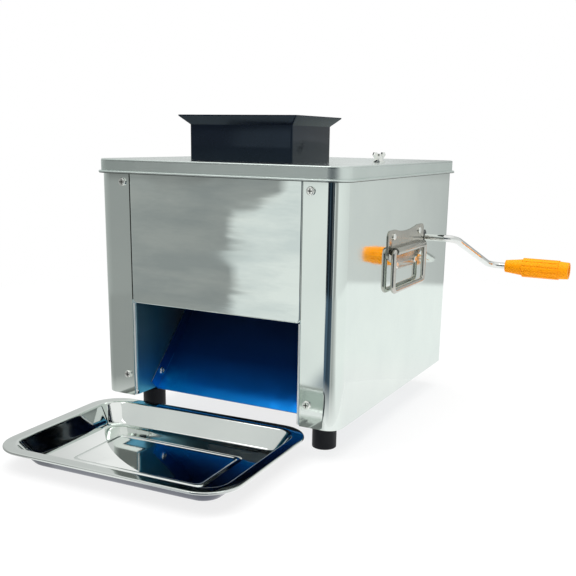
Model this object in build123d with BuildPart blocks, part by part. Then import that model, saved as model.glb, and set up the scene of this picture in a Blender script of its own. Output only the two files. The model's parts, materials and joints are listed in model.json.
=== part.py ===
from build123d import *
import os
from math import acos, atan2, cos, degrees, pi, radians, sin, sqrt, tan

# Electric meat slicer with a feed hopper, a hand crank and a catch tray.
# Units are millimetres. X runs across the machine, Y from its front to its back, Z up.
# The origin is on the floor, in the middle of the whole object's box.
# Sizes and places below are taken from the middle of the casing's front face, at floor level.

# Casing
casing_width = 300.0
casing_depth = 350.0
underside_height = 36.0
lid_top_height = 304.0
sheet = 1.0
casing_corner_radius = 16.0
front_flange_width = 43.0
hem_width = 12.0

# Inner frame
plate = 1.5
plate_inset = 46.0
plate_flange_width = 27.0
relief_radius = 2.0
relief_rise = 2.6
bend_radius = 2.25
base_plate_thickness = 3.0
base_plate_depth = 156.0
tie_rod_radius = 6.0
tie_rod_drop = 42.0
tie_rod_front = 20.0
tie_rod_rear_inset = 12.0
lower_rod_y = 150.0
lower_rod_rise = 26.0

# Front and rear panels
panel_bottom_drop = 158.7
panel_seam = 0.4
panel_return = 14.0
rear_panel_inset = 22.0
vent_length = 58.0
vent_height = 5.0
vent_pitch_x = 78.0
vent_pitch_z = 13.0
vent_rows = 6
vent_drop = 79.0
gland_inset = 78.0
gland_rise = 42.0
gland_bore_radius = 3.6
gland_thread_radius = 8.0
gland_nut_radius = 12.0
gland_thread_length = 9.0
gland_hex_length = 5.0
gland_dome_length = 8.0

# Screws
screw_inset = 34.5
lower_screw_rise = 24.6
upper_screw_drop = 24.5
screw_head_radius = 4.5
screw_head_height = 2.4
screw_shank_radius = 2.0
screw_length = 9.0
cross_width = 1.1
cross_length = 5.2
cross_depth = 1.2
head_round_share = 0.55

# Discharge chute
chute_lip_y = 38.0
chute_lip_drop = 0.5
chute_slope = 46.5
chute_top_drop = 126.33
chute_sheet = 1.2
chute_side_gap = 0.3
chute_flange = 15.5
chute_screw_along = 20.0
chute_screw_up = 8.0

# Feet
foot_radius = 13.4
foot_neck_radius = 8.0
foot_neck_height = 2.8
foot_edge_radius = 1.0
front_foot_inset = 35.3
front_foot_y = 47.2
rear_foot_inset = 62.0
rear_foot_back_inset = 50.0
foot_bolt_radius = 3.0
foot_bolt_depth = 18.0
foot_bolt_head_radius = 5.5
foot_bolt_head_height = 4.0

# Lid
lid_sheet = 1.0
lid_rim_height = 15.5
lid_overhang = 2.5
lid_bead_reach = 3.0
lid_bead_height = 2.8
bead_round_share = 0.42
lid_edge_radius = 1.5

# Hopper
hopper_width = 128.6
hopper_depth = 93.7
hopper_front = 56.5
hopper_body_height = 38.2
hopper_flare_height = 9.0
hopper_flare_reach = 9.6
hopper_lip_height = 1.3
hopper_wall = 3.0
hopper_corner_radius = 2.0
hopper_base_height = 12.0
collar_inset = 7.0
collar_wall = 2.5
collar_depth = 18.0
hopper_screw_radius = 1.4
hopper_screw_head_radius = 3.0
hopper_screw_head_height = 2.0
hopper_screw_length = 10.0

# Lid fasteners
stud_inset = 35.0
stud_radius = 3.0
stud_rise = 9.5
stud_clearance = 0.6
weld_nut_radius = 5.8
weld_nut_height = 5.0
wing_nut_hub_radius = 5.2
wing_nut_hub_top_radius = 4.2
wing_nut_hub_height = 5.5
wing_nut_height = 9.8
wing_nut_span = 22.0
wing_nut_tip_width = 6.0
wing_thickness = 2.4
wing_nut_turns = {"left": -20.0, "right": 75.0}
washer_radius = 7.0
washer_thickness = 1.2

# Carrying handles
handle_y = 181.0
handle_plate = 1.2
handle_top_drop = 72.5
handle_dip = 3.6
handle_half_width = 59.0
handle_ear_width = 23.0
handle_waist_drop = 30.5
handle_waist_slope = 8.0
handle_lower_half_width = 37.5
handle_height = 45.9
handle_corner_radius = 7.0
barrel_drop = 23.5
barrel_radius = 4.4
bail_radius = 3.0
bail_leg_spread = 50.6
bail_drop = 44.5
bail_corner_radius = 6.5
bail_top_radius = 3.3
bail_pin_length = 30.0
upper_rivet_spread = 42.2
upper_rivet_drop = 7.5
lower_rivet_spread = 30.7
lower_rivet_drop = 40.7
rivet_radius = 2.2
rivet_head_radius = 3.9
rivet_head_height = 1.7
rivet_tail_radius = 3.4
rivet_tail_height = 1.2

# Crank
crank_y = 246.0
crank_drop = 90.0
crank_rod_radius = 4.2
crank_arm_reach = 40.0
crank_reach = 176.8
crank_droop = 17.1
crank_bend_radius = 14.0
crank_hole_radius = 9.0
crank_seal_radius = 14.0
crank_seal_length = 8.0
crank_socket_depth = 18.0
grip_reach = 63.0
grip_length = 85.0
grip_neck_length = 24.0
grip_neck_radius = 8.3
grip_shoulder_radius = 11.1
grip_radius = 13.0
grip_cap_length = 13.0
grip_cap_radius = 12.0
grip_end_radius = 11.2
grip_flutes = 12
grip_flute_radius = 1.6
grip_flute_depth = 0.8
grip_dot_along = 46.0
grip_dot_angle = 149.0
grip_dot_radius = 1.8
grip_dot_rise = 0.6
grip_screw_head_radius = 5.5
grip_screw_head_height = 3.2
grip_screw_depth = 12.0
grip_recess_depth = 6.0
grip_recess_radius = 7.5
grip_edge_radius = 0.75

# Blades, shafts and gears
blade_gear_rise = 12.0
blade_radius = 48.0
blade_thickness = 1.2
blade_pitch = 10.0
rear_blade_count = 12
spacer_radius = 18.0
shaft_radius = 7.0
shaft_head_radius = 10.0
shaft_head_thickness = 3.0
sleeve_radius = 11.0
shaft_overhang = 4.0
bush_radius = 11.0
bush_flange_radius = 14.0
bush_flange_thickness = 2.0
bush_overhang = 1.0
gear_module = 2.0
pressure_angle = 20.0
gear_backlash = 0.16
dedendum_share = 1.25
root_step = 0.1
flank_shares = (0.0, 0.3, 0.65, 1.0)
gear_gap = 6.5
gear_width = 10.0
gear_hub_radius = 14.0
blade_gear_teeth = 42
crank_gear_teeth = 58
pinion_teeth = 20
comb_bar_depth = 12.0
comb_bar_height = 14.0
comb_finger_width = 4.0
comb_finger_height = 6.0
comb_gap = 3.0
rear_comb_angle = -25.0
front_comb_angle = 218.0

# Motor and electrical pieces
motor_angle = -78.2
gearbox_size = 88.0
gearbox_length = 40.0
gearbox_corner_radius = 8.0
motor_radius = 45.0
motor_end_gap = 26.0
motor_ribs = 20
motor_rib_radius = 1.6
motor_vent_radius = 3.0
motor_vent_ring = 30.0
motor_vents = 12
motor_cap_length = 24.0
motor_cap_radius = 47.0
motor_shaft_radius = 6.0
motor_shaft_depth = 30.0
motor_hole_radius = 12.0
motor_bolt_spread = 64.0
motor_bolt_radius = 3.0
motor_bolt_head_radius = 5.2
motor_bolt_head_height = 4.0
motor_bolt_length = 18.0
capacitor_radius = 18.0
capacitor_length = 62.0
capacitor_inset = 42.0
capacitor_back_inset = 128.0
clamp_thickness = 1.5
clamp_width = 14.0
clamp_foot = 12.0
terminal_length = 46.0
terminal_depth = 18.0
terminal_height = 16.0
terminal_ways = 4
terminal_inset = 59.0
terminal_back_inset = 28.0
switch_back_inset = 52.0
switch_drop = 58.0
switch_bezel_width = 22.0
switch_bezel_height = 31.0
switch_bezel_thickness = 2.0
switch_body_width = 19.0
switch_body_height = 27.0
switch_body_depth = 24.0
switch_cavity_depth = 9.0
rocker_width = 13.0
rocker_height = 19.0
rocker_rise = 1.5
rocker_shoulder = 3.0
rocker_keel = 2.0
rocker_keel_height = 14.0
rocker_tilt = 8.0
rocker_pin_radius = 1.2
rocker_pin_inset = 1.5

# Catch tray
tray_length = 272.0
tray_width = 200.0
tray_height = 24.0
tray_corner_radius = 37.0
tray_rim = 13.0
tray_sheet = 1.0
tray_wall_inset = 18.0
tray_base_corner_radius = 16.0
tray_across = -19.0
tray_y = -77.0
tray_turn = 2.3
tray_bead_width = 2.4
tray_bead_depth = 2.6
tray_panel_length = 158.0
tray_panel_width = 85.0
tray_panel_corner_radius = 10.0
tray_panel_groove = 4.0
tray_panel_rise = 1.2

# Clearances, and how near a found edge lies to its named place
running_clearance = 0.08
fit_clearance = 0.05
loose_clearance = 0.4
matching_tolerance = 0.001

# Worked out from the sizes above
half_width = casing_width / 2
half_turn = 180.0
casing_top_height = lid_top_height - lid_sheet
casing_height = casing_top_height - underside_height
shelf_height = underside_height + sheet
front_flange_edge = half_width - front_flange_width
plate_inner_face = half_width - plate_inset
plate_outer_face = plate_inner_face + plate
panel_bottom_height = lid_top_height - panel_bottom_drop
rear_panel_half_width = half_width - rear_panel_inset
gland_across = gland_inset - half_width
gland_height = underside_height + gland_rise
screw_across = half_width - screw_inset
screw_heights = (underside_height + lower_screw_rise, lid_top_height - upper_screw_drop)
upper_rod_height = lid_top_height - tie_rod_drop
tie_rod_places = (
    (tie_rod_front, upper_rod_height),
    (casing_depth - tie_rod_rear_inset, upper_rod_height),
    (lower_rod_y, underside_height + lower_rod_rise),
)
chute_lip_height = underside_height - chute_lip_drop
chute_rise = lid_top_height - chute_top_drop - chute_lip_height
chute_length = chute_rise / sin(radians(chute_slope))
front_foot_across = half_width - front_foot_inset
rear_foot_across = half_width - rear_foot_inset
rear_foot_y = casing_depth - rear_foot_back_inset
stud_across = half_width - stud_inset
stud_y = casing_depth / 2
handle_top_height = lid_top_height - handle_top_drop
handle_waist_height = handle_top_height - handle_waist_drop
handle_bottom_height = handle_top_height - handle_height
barrel_height = handle_top_height - barrel_drop
crank_height = lid_top_height - crank_drop
crank_arm_across = half_width + crank_arm_reach
grip_start = half_width + grip_reach
gear_start = plate_outer_face + gear_gap
shaft_right_end = gear_start + gear_width + shaft_overhang
motor_length = 2 * plate_inner_face - gearbox_length - motor_cap_length - motor_end_gap
capacitor_across = capacitor_inset - plate_inner_face
capacitor_y = casing_depth - capacitor_back_inset
terminal_across = terminal_inset - plate_inner_face
terminal_y = casing_depth - terminal_back_inset
switch_y = casing_depth - switch_back_inset
switch_height = lid_top_height - switch_drop
fold_middle = plate_inner_face + plate / 2
blade_gear_radius = gear_module * blade_gear_teeth / 2
crank_gear_radius = gear_module * crank_gear_teeth / 2
blade_height = crank_height + blade_gear_rise
rear_blade_y = crank_y - sqrt((crank_gear_radius + blade_gear_radius) ** 2 - blade_gear_rise**2)
front_blade_y = rear_blade_y - 2 * blade_gear_radius
hub_start = plate_outer_face + bush_overhang + loose_clearance
shaft_left_end = hub_start + shaft_head_thickness
pinion_radius = gear_module * pinion_teeth / 2
motor_distance = crank_gear_radius + pinion_radius
motor_y = crank_y + motor_distance * cos(radians(motor_angle))
motor_height = crank_height + motor_distance * sin(radians(motor_angle))
grip_y = crank_y + crank_reach * cos(radians(crank_droop))
grip_height = crank_height - crank_reach * sin(radians(crank_droop))
grip_end = grip_start + grip_length
grip_cap_start = grip_length - grip_cap_length
grip_flute_ring = grip_radius + grip_flute_radius - grip_flute_depth
grip_flute_angle = degrees(pi / grip_flutes)
barrel_across = half_width + handle_plate + barrel_radius
ear_end = handle_half_width - handle_ear_width
barrel_half_length = bail_leg_spread - bail_top_radius - loose_clearance
hopper_middle = hopper_front + hopper_depth / 2
panel_top_height = casing_top_height - sheet
base_plate_end = casing_depth - 2 * sheet
base_plate_start = base_plate_end - base_plate_depth
base_top_height = shelf_height + base_plate_thickness
chute_half_width = plate_inner_face - chute_side_gap
bush_places = ((rear_blade_y, blade_height), (front_blade_y, blade_height), (crank_y, crank_height))
sleeve_end = plate_inner_face - bush_flange_thickness - loose_clearance
comb_radius = blade_radius + comb_gap + comb_bar_depth / 2
comb_reach = blade_radius - spacer_radius
comb_finger_radius = comb_radius - (comb_bar_depth + comb_reach) / 2
rear_comb_place = (
    rear_blade_y + comb_radius * cos(radians(rear_comb_angle)),
    blade_height + comb_radius * sin(radians(rear_comb_angle)),
)
front_comb_place = (
    front_blade_y + comb_radius * cos(radians(front_comb_angle)),
    blade_height + comb_radius * sin(radians(front_comb_angle)),
)
cross_screw_places = tie_rod_places + (rear_comb_place, front_comb_place)
rivet_places = [
    (handle_y + sign * spread, z)
    for sign in (-1, 1)
    for spread, z in (
        (upper_rivet_spread, handle_top_height - upper_rivet_drop),
        (lower_rivet_spread, handle_top_height - lower_rivet_drop),
    )
]
motor_bolt_places = [
    (motor_y + y * motor_bolt_spread / 2, motor_height + z * motor_bolt_spread / 2)
    for y in (-1, 1)
    for z in (-1, 1)
]
flare_foot_height = lid_top_height + hopper_body_height
flare_top_height = flare_foot_height + hopper_flare_height

# The tray stands slightly askew, so its reach is that of a turned rounded rectangle
tray_reach_x = (
    (tray_length / 2 - tray_corner_radius) * cos(radians(tray_turn))
    + (tray_width / 2 - tray_corner_radius) * sin(radians(tray_turn))
    + tray_corner_radius
)
tray_reach_y = (
    (tray_width / 2 - tray_corner_radius) * cos(radians(tray_turn))
    + (tray_length / 2 - tray_corner_radius) * sin(radians(tray_turn))
    + tray_corner_radius
)

# The middle of the whole object's box, seen from above, is the origin
left_reach = min(tray_across - tray_reach_x, -barrel_across - barrel_radius)
front_reach = tray_y - tray_reach_y
back_reach = grip_y + grip_radius
machine_x = -(left_reach + grip_end) / 2
machine_y = -(front_reach + back_reach) / 2

hands = {"left": -1, "right": 1}


def level(height):
    """Level plane at a height above the floor, drawn in X and Y."""
    return Plane(origin=(machine_x, machine_y, height))


def side(across):
    """Upright plane facing +X, so far across from the middle, drawn in Y and Z."""
    return Plane(origin=(machine_x + across, machine_y, 0), x_dir=(0, 1, 0), z_dir=(1, 0, 0))


def front(depth):
    """Upright plane facing the user, so far behind the front face, drawn in X and Z."""
    return Plane(origin=(machine_x, machine_y + depth, 0), x_dir=(1, 0, 0), z_dir=(0, -1, 0))


def outward(hand, across, y, z):
    """Plane on a point of the left or right side that faces away from the machine."""
    origin = (machine_x + hand * across, machine_y + y, z)
    return Plane(origin=origin, x_dir=(0, hand, 0), z_dir=(hand, 0, 0))


def tray_level(height):
    """Level plane on the tray's middle, turned as the tray stands."""
    turn = radians(tray_turn)
    return Plane(
        origin=(machine_x + tray_across, machine_y + tray_y, height), x_dir=(cos(turn), sin(turn), 0)
    )


def chute_point(along, up):
    """Y and Z of a point on the chute, from how far it lies up the slope and off the sheet."""
    slope = radians(chute_slope)
    y = chute_lip_y + along * cos(slope) - up * sin(slope)
    z = chute_lip_height + along * sin(slope) + up * cos(slope)
    return y, z


def save(piece, name):
    """Name a finished piece and write it to its own file."""
    piece.label = name
    export_step(piece, f"parts/{name}.step")


def circles(places, radius):
    """Circles at several places of the current sketch."""
    with Locations(*places):
        Circle(radius)


def tooth_half_angle(radius, base_radius, pitch_half_angle):
    """Half the angle that a tooth takes up at a radius, from the involute."""
    if radius <= base_radius:
        roll = 0.0
    else:
        turn = acos(base_radius / radius)
        roll = tan(turn) - turn
    standard = tan(radians(pressure_angle)) - radians(pressure_angle)
    return pitch_half_angle + standard - roll


def gear_outline(teeth, phase, y, z):
    """Points around a spur gear at a place, with one tooth centred at the phase angle in degrees."""
    pitch = gear_module * teeth / 2
    base = pitch * cos(radians(pressure_angle))
    root = pitch - dedendum_share * gear_module
    tip = pitch + gear_module
    start = max(base, root + root_step)
    flank = [root] + [start + (tip - start) * share for share in flank_shares]
    at_pitch = pi / (2 * teeth) - gear_backlash / (2 * pitch)
    points = []
    for tooth in range(teeth):
        middle = radians(phase) + 2 * pi * tooth / teeth
        for sign, radii in ((-1, flank), (1, reversed(flank))):
            for radius in radii:
                angle = middle + sign * tooth_half_angle(radius, base, at_pitch)
                points.append((y + radius * cos(angle), z + radius * sin(angle)))
    return points


def mesh_phase(teeth, phase, follower_teeth, direction):
    """Phase of a gear that lies in mesh with another, in a direction in degrees."""
    lead = teeth * (direction - phase)
    return direction + half_turn - (half_turn - lead) / follower_teeth


def spur_gear(teeth, phase, y, z, bore):
    """A spur gear with a hub towards the frame, bored for its shaft."""
    with BuildPart() as gear:
        with BuildSketch(side(gear_start)):
            with BuildLine():
                Polyline(*gear_outline(teeth, phase, y, z), close=True)
            make_face()
        extrude(amount=gear_width)
        with BuildSketch(side(hub_start)):
            circles([(y, z)], gear_hub_radius)
        extrude(amount=gear_start - hub_start)
        with BuildSketch(side(hub_start)):
            circles([(y, z)], bore + fit_clearance)
        extrude(amount=gear_start + gear_width - hub_start, mode=Mode.SUBTRACT)
    return gear.part


def is_rounded_corner(edge):
    """Whether an edge of a handle plate lies on one of its outer corners."""
    corner_heights = (handle_top_height, handle_waist_height, handle_bottom_height)
    return any(abs(edge.center().Z - height) < matching_tolerance for height in corner_heights)


chute_screw_places = [chute_point(chute_screw_along, chute_screw_up)]
collar_width = hopper_width - 2 * collar_inset
collar_breadth = hopper_depth - 2 * collar_inset
hopper_screw_places = [
    (x * (hopper_width - collar_inset) / 2, hopper_middle + y * (hopper_depth - collar_inset) / 2)
    for x in (-1, 1)
    for y in (-1, 1)
]

os.makedirs("parts", exist_ok=True)


# Side sheets of the casing, wrapped round the front and rear edges, with hems at top and bottom
for name, hand in hands.items():
    with BuildPart() as shell:
        with BuildSketch(level(underside_height)):
            with Locations((hand * (front_flange_edge + half_width) / 2, casing_depth / 2)):
                Rectangle(half_width - front_flange_edge, casing_depth)
        extrude(amount=casing_height)
        corners = shell.edges().filter_by(Axis.Z).sort_by(Axis.X, reverse=hand > 0)[:2]
        fillet(corners, casing_corner_radius)
        open_side = shell.faces().sort_by(Axis.X, reverse=hand < 0)[0]
        offset(amount=-sheet, openings=open_side)
        with BuildSketch(level(underside_height)):
            with Locations((hand * (half_width - hem_width) / 2, casing_depth / 2)):
                Rectangle(half_width - hem_width, casing_depth - 2 * hem_width)
        extrude(amount=casing_height, mode=Mode.SUBTRACT)
        with BuildSketch(front(0)):
            circles([(hand * screw_across, z) for z in screw_heights], screw_shank_radius + fit_clearance)
        extrude(amount=-casing_depth, mode=Mode.SUBTRACT)
        with BuildSketch(side(hand * (half_width - sheet))):
            circles(rivet_places, rivet_radius + fit_clearance)
            if hand > 0:
                circles([(crank_y, crank_height)], crank_hole_radius)
            else:
                with Locations((switch_y, switch_height)):
                    Rectangle(switch_body_width + 2 * fit_clearance, switch_body_height + 2 * fit_clearance)
        extrude(amount=hand * 2 * sheet, mode=Mode.SUBTRACT)
    save(shell.part, f"{name}_side_shell")

# Inner side plates, which carry the shafts: folded outwards along all four edges
for name, hand in hands.items():
    fold_end = casing_depth - 2 * sheet - plate / 2
    with BuildPart() as side_plate:
        with BuildSketch(level(shelf_height)):
            with BuildLine():
                FilletPolyline(
                    (hand * (front_flange_edge + plate_flange_width), sheet + plate / 2),
                    (hand * fold_middle, sheet + plate / 2),
                    (hand * fold_middle, fold_end),
                    (hand * (rear_panel_half_width), fold_end),
                    radius=bend_radius,
                )
            trace(line_width=plate)
        extrude(amount=panel_top_height - shelf_height)
        shelves = ((shelf_height, half_width - sheet), (casing_top_height - plate, half_width - hem_width))
        for height, reach in shelves:
            with BuildSketch(level(height)):
                with Locations((hand * (plate_inner_face + reach) / 2, casing_depth / 2)):
                    Rectangle(reach - plate_inner_face, casing_depth - 2 * casing_corner_radius - 2 * sheet)
            extrude(amount=plate)
        with BuildSketch(side(hand * plate_inner_face)):
            circles(bush_places, bush_radius + fit_clearance)
            circles(chute_screw_places, screw_shank_radius + fit_clearance)
            circles(cross_screw_places, screw_shank_radius + fit_clearance)
            if hand > 0:
                circles([(motor_y, motor_height)], motor_hole_radius)
                circles(motor_bolt_places, motor_bolt_radius + fit_clearance)
        extrude(amount=hand * plate, mode=Mode.SUBTRACT)
        with BuildSketch(front(0)):
            circles([(hand * screw_across, z) for z in screw_heights], screw_shank_radius + fit_clearance)
        extrude(amount=-casing_depth, mode=Mode.SUBTRACT)
        with BuildSketch(front(sheet)):
            circles([(hand * fold_middle, shelf_height + relief_rise)], relief_radius)
        extrude(amount=-plate - bend_radius, mode=Mode.SUBTRACT)
        with BuildSketch(level(shelf_height)):
            circles([(hand * front_foot_across, front_foot_y)], foot_bolt_radius + fit_clearance)
        extrude(amount=plate, mode=Mode.SUBTRACT)
        with BuildSketch(level(casing_top_height)):
            circles([(hand * stud_across, stud_y)], stud_radius + fit_clearance)
        extrude(amount=-plate, mode=Mode.SUBTRACT)
    save(side_plate.part, f"{name}_side_plate")

# Front panel between the flanges, hemmed back at top and bottom
with BuildPart() as front_panel:
    with BuildSketch(front(0)):
        with Locations((0, (panel_bottom_height + panel_top_height) / 2)):
            Rectangle(2 * (front_flange_edge - panel_seam), panel_top_height - panel_bottom_height)
    extrude(amount=-sheet)
    for height in (panel_bottom_height, panel_top_height - sheet):
        with BuildSketch(level(height)):
            with Locations((0, (sheet + panel_return) / 2)):
                Rectangle(2 * plate_inner_face, panel_return - sheet)
        extrude(amount=sheet)
save(front_panel.part, "front_panel")

# Rear panel behind the flanges, with rows of cooling vents and the cable entry
with BuildPart() as rear_panel:
    with BuildSketch(front(casing_depth - 2 * sheet)):
        with Locations((0, (panel_top_height + shelf_height) / 2)):
            Rectangle(2 * rear_panel_half_width, panel_top_height - shelf_height - 2 * plate)
        with Locations((0, lid_top_height - vent_drop)):
            with GridLocations(vent_pitch_x, vent_pitch_z, 2, vent_rows):
                SlotOverall(vent_length, vent_height, mode=Mode.SUBTRACT)
        with Locations((gland_across, gland_height)):
            Circle(gland_thread_radius + fit_clearance, mode=Mode.SUBTRACT)
        with Locations(*[(hand * screw_across, z) for hand in hands.values() for z in screw_heights]):
            Circle(screw_shank_radius + fit_clearance, mode=Mode.SUBTRACT)
    extrude(amount=-sheet)
save(rear_panel.part, "rear_panel")

# Base plate that ties the side plates together under the motor
with BuildPart() as base_plate:
    with BuildSketch(level(shelf_height)):
        with Locations((0, (base_plate_start + base_plate_end) / 2)):
            Rectangle(2 * plate_inner_face, base_plate_end - base_plate_start)
        with Locations(*[(hand * rear_foot_across, rear_foot_y) for hand in hands.values()]):
            Circle(foot_bolt_radius + fit_clearance, mode=Mode.SUBTRACT)
    extrude(amount=base_plate_thickness)
save(base_plate.part, "base_plate")

# Tie rods between the side plates, tapped at both ends
with BuildPart() as tie_rods:
    with BuildSketch(side(-plate_inner_face)):
        circles(tie_rod_places, tie_rod_radius)
    extrude(amount=2 * plate_inner_face)
    for hand in hands.values():
        with BuildSketch(side(hand * plate_inner_face)):
            circles(tie_rod_places, screw_shank_radius + fit_clearance)
        extrude(amount=-hand * screw_length, mode=Mode.SUBTRACT)
save(tie_rods.part, "tie_rods")

# Pan head screw with a cross recess, its head standing on the XY plane
with BuildPart() as pan_screw:
    with BuildSketch():
        Circle(screw_head_radius)
    extrude(amount=screw_head_height)
    fillet(pan_screw.edges().sort_by(Axis.Z)[-1], screw_head_height * head_round_share)
    with BuildSketch(Plane.XY.offset(screw_head_height)):
        Rectangle(cross_length, cross_width)
        Rectangle(cross_width, cross_length)
    extrude(amount=-cross_depth, mode=Mode.SUBTRACT)
    with BuildSketch():
        Circle(screw_shank_radius)
    extrude(amount=-screw_length)

# Screws of the casing's front and rear flanges, then those of the chute, tie rods and combs
casing_screw_planes = [
    Plane(origin=(machine_x + hand * screw_across, machine_y + y, z), z_dir=(0, facing, 0))
    for hand in hands.values()
    for z in screw_heights
    for y, facing in ((0, -1), (casing_depth, 1))
]
with BuildPart() as casing_screws:
    with Locations(*casing_screw_planes):
        add(pan_screw.part)
save(casing_screws.part, "casing_screws")

frame_screw_planes = [
    outward(-hand, chute_sheet - chute_half_width, *place)
    for hand in hands.values()
    for place in chute_screw_places
]
frame_screw_planes += [
    outward(hand, plate_outer_face, *place)
    for hand in hands.values()
    for place in cross_screw_places
]
with BuildPart() as frame_screws:
    with Locations(*frame_screw_planes):
        add(pan_screw.part)
save(frame_screws.part, "frame_screws")

# Discharge chute: a sloped sheet with turned-up sides screwed to the side plates
with BuildPart() as chute:
    with BuildSketch(side(chute_half_width)):
        with BuildLine():
            Polyline(
                chute_point(0, 0),
                chute_point(chute_length, 0),
                chute_point(chute_length, -chute_sheet),
                chute_point(0, -chute_sheet),
                close=True,
            )
        make_face()
    extrude(amount=-2 * chute_half_width)
    for hand in hands.values():
        with BuildSketch(side(hand * chute_half_width)):
            with BuildLine():
                Polyline(
                    chute_point(0, -chute_sheet),
                    chute_point(chute_length, -chute_sheet),
                    chute_point(chute_length, chute_flange),
                    chute_point(0, chute_flange),
                    close=True,
                )
            make_face()
            with Locations(*chute_screw_places):
                Circle(screw_shank_radius + fit_clearance, mode=Mode.SUBTRACT)
        extrude(amount=-hand * chute_sheet)
save(chute.part, "chute")

# Rubber feet, each with a narrow neck under the steel that it is bolted to
foot_places = {
    "front_left_foot": (-front_foot_across, front_foot_y, plate),
    "front_right_foot": (front_foot_across, front_foot_y, plate),
    "rear_left_foot": (-rear_foot_across, rear_foot_y, base_plate_thickness),
    "rear_right_foot": (rear_foot_across, rear_foot_y, base_plate_thickness),
}
for name, place in foot_places.items():
    with BuildPart() as foot:
        with BuildSketch(level(0)):
            circles([place[:2]], foot_radius)
        extrude(amount=shelf_height - foot_neck_height)
        fillet(foot.edges(), foot_edge_radius)
        with BuildSketch(level(shelf_height)):
            circles([place[:2]], foot_neck_radius)
        extrude(amount=-foot_neck_height - foot_edge_radius)
        with BuildSketch(level(shelf_height)):
            circles([place[:2]], foot_bolt_radius + fit_clearance)
        extrude(amount=-foot_bolt_depth - loose_clearance, mode=Mode.SUBTRACT)
    save(foot.part, name)

with BuildPart() as foot_bolts:
    for x, y, thickness in foot_places.values():
        with BuildSketch(level(shelf_height + thickness)):
            with Locations((x, y)):
                RegularPolygon(foot_bolt_head_radius, 6)
        extrude(amount=foot_bolt_head_height)
        with BuildSketch(level(shelf_height + thickness)):
            circles([(x, y)], foot_bolt_radius)
        extrude(amount=-thickness - foot_bolt_depth)
save(foot_bolts.part, "foot_bolts")

# Lid: a shallow tray upside down, with a rolled bead along its rim
lid_foot = lid_top_height - lid_rim_height
lid_stages = (
    (lid_overhang, lid_rim_height, Mode.ADD),
    (lid_overhang + lid_bead_reach, lid_bead_height, Mode.ADD),
    (lid_overhang - lid_sheet, lid_rim_height - lid_sheet, Mode.SUBTRACT),
)
with BuildPart() as lid:
    for grown, height, mode in lid_stages:
        with BuildSketch(level(lid_foot)):
            with Locations((0, casing_depth / 2)):
                RectangleRounded(
                    casing_width + 2 * grown,
                    casing_depth + 2 * grown,
                    casing_corner_radius + grown,
                )
        extrude(amount=height, mode=mode)
    fillet(lid.faces().sort_by(Axis.Z)[-1].outer_wire().edges(), lid_edge_radius)
    bead_faces = lid.faces().filter_by(Plane.XY).group_by(Axis.Z)[:2]
    bead_edges = [edge for group in bead_faces for edge in group[0].outer_wire().edges()]
    fillet(bead_edges, lid_bead_height * bead_round_share)
    with BuildSketch(level(lid_top_height)):
        with Locations((0, hopper_middle)):
            Rectangle(collar_width + 2 * loose_clearance, collar_breadth + 2 * loose_clearance)
        circles([(hand * stud_across, stud_y) for hand in hands.values()], stud_radius + stud_clearance)
        circles(hopper_screw_places, hopper_screw_radius + fit_clearance)
    extrude(amount=-2 * lid_sheet, mode=Mode.SUBTRACT)
save(lid.part, "lid")

# Hopper: straight body with a flared rim, and a collar that passes down through the lid
with BuildPart() as hopper:
    for wall, foot, mode in (
        (0, lid_top_height, Mode.ADD),
        (hopper_wall, lid_top_height + hopper_base_height, Mode.SUBTRACT),
    ):
        width = hopper_width - 2 * wall
        depth = hopper_depth - 2 * wall
        with BuildSketch(level(foot)):
            with Locations((0, hopper_middle)):
                RectangleRounded(width, depth, hopper_corner_radius)
        extrude(amount=flare_foot_height - foot, mode=mode)
        for height, reach in ((flare_foot_height, 0), (flare_top_height, hopper_flare_reach)):
            with BuildSketch(level(height)):
                with Locations((0, hopper_middle)):
                    RectangleRounded(width + 2 * reach, depth + 2 * reach, hopper_corner_radius)
        loft(mode=mode)
        with BuildSketch(level(flare_top_height)):
            with Locations((0, hopper_middle)):
                RectangleRounded(
                    width + 2 * hopper_flare_reach,
                    depth + 2 * hopper_flare_reach,
                    hopper_corner_radius,
                )
        extrude(amount=hopper_lip_height, mode=mode)
    with BuildSketch(level(lid_top_height)):
        with Locations((0, hopper_middle)):
            Rectangle(collar_width, collar_breadth)
    extrude(amount=-collar_depth)
    with BuildSketch(level(lid_top_height - collar_depth)):
        with Locations((0, hopper_middle)):
            Rectangle(collar_width - 2 * collar_wall, collar_breadth - 2 * collar_wall)
    extrude(amount=collar_depth + hopper_base_height, mode=Mode.SUBTRACT)
    with BuildSketch(level(lid_top_height)):
        circles(hopper_screw_places, hopper_screw_radius + fit_clearance)
    extrude(amount=hopper_screw_length - lid_sheet + loose_clearance, mode=Mode.SUBTRACT)
save(hopper.part, "hopper")

with BuildPart() as hopper_screws:
    with BuildSketch(level(lid_top_height - lid_sheet)):
        circles(hopper_screw_places, hopper_screw_head_radius)
    extrude(amount=-hopper_screw_head_height)
    with BuildSketch(level(lid_top_height - lid_sheet)):
        circles(hopper_screw_places, hopper_screw_radius)
    extrude(amount=hopper_screw_length)
save(hopper_screws.part, "hopper_screws")

# Studs welded under the top of the side plates, and what clamps the lid down on them
stud_places = [(hand * stud_across, stud_y) for hand in hands.values()]
with BuildPart() as lid_studs:
    with BuildSketch(level(casing_top_height - plate)):
        with Locations(*stud_places):
            RegularPolygon(weld_nut_radius, 6)
    extrude(amount=-weld_nut_height)
    with BuildSketch(level(casing_top_height - plate - weld_nut_height)):
        circles(stud_places, stud_radius)
    extrude(amount=plate + weld_nut_height + lid_sheet + stud_rise)
save(lid_studs.part, "lid_studs")

with BuildPart() as lid_washers:
    with BuildSketch(level(lid_top_height)):
        circles(stud_places, washer_radius)
        with Locations(*stud_places):
            Circle(stud_radius + stud_clearance, mode=Mode.SUBTRACT)
    extrude(amount=washer_thickness)
save(lid_washers.part, "lid_washers")

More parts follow.
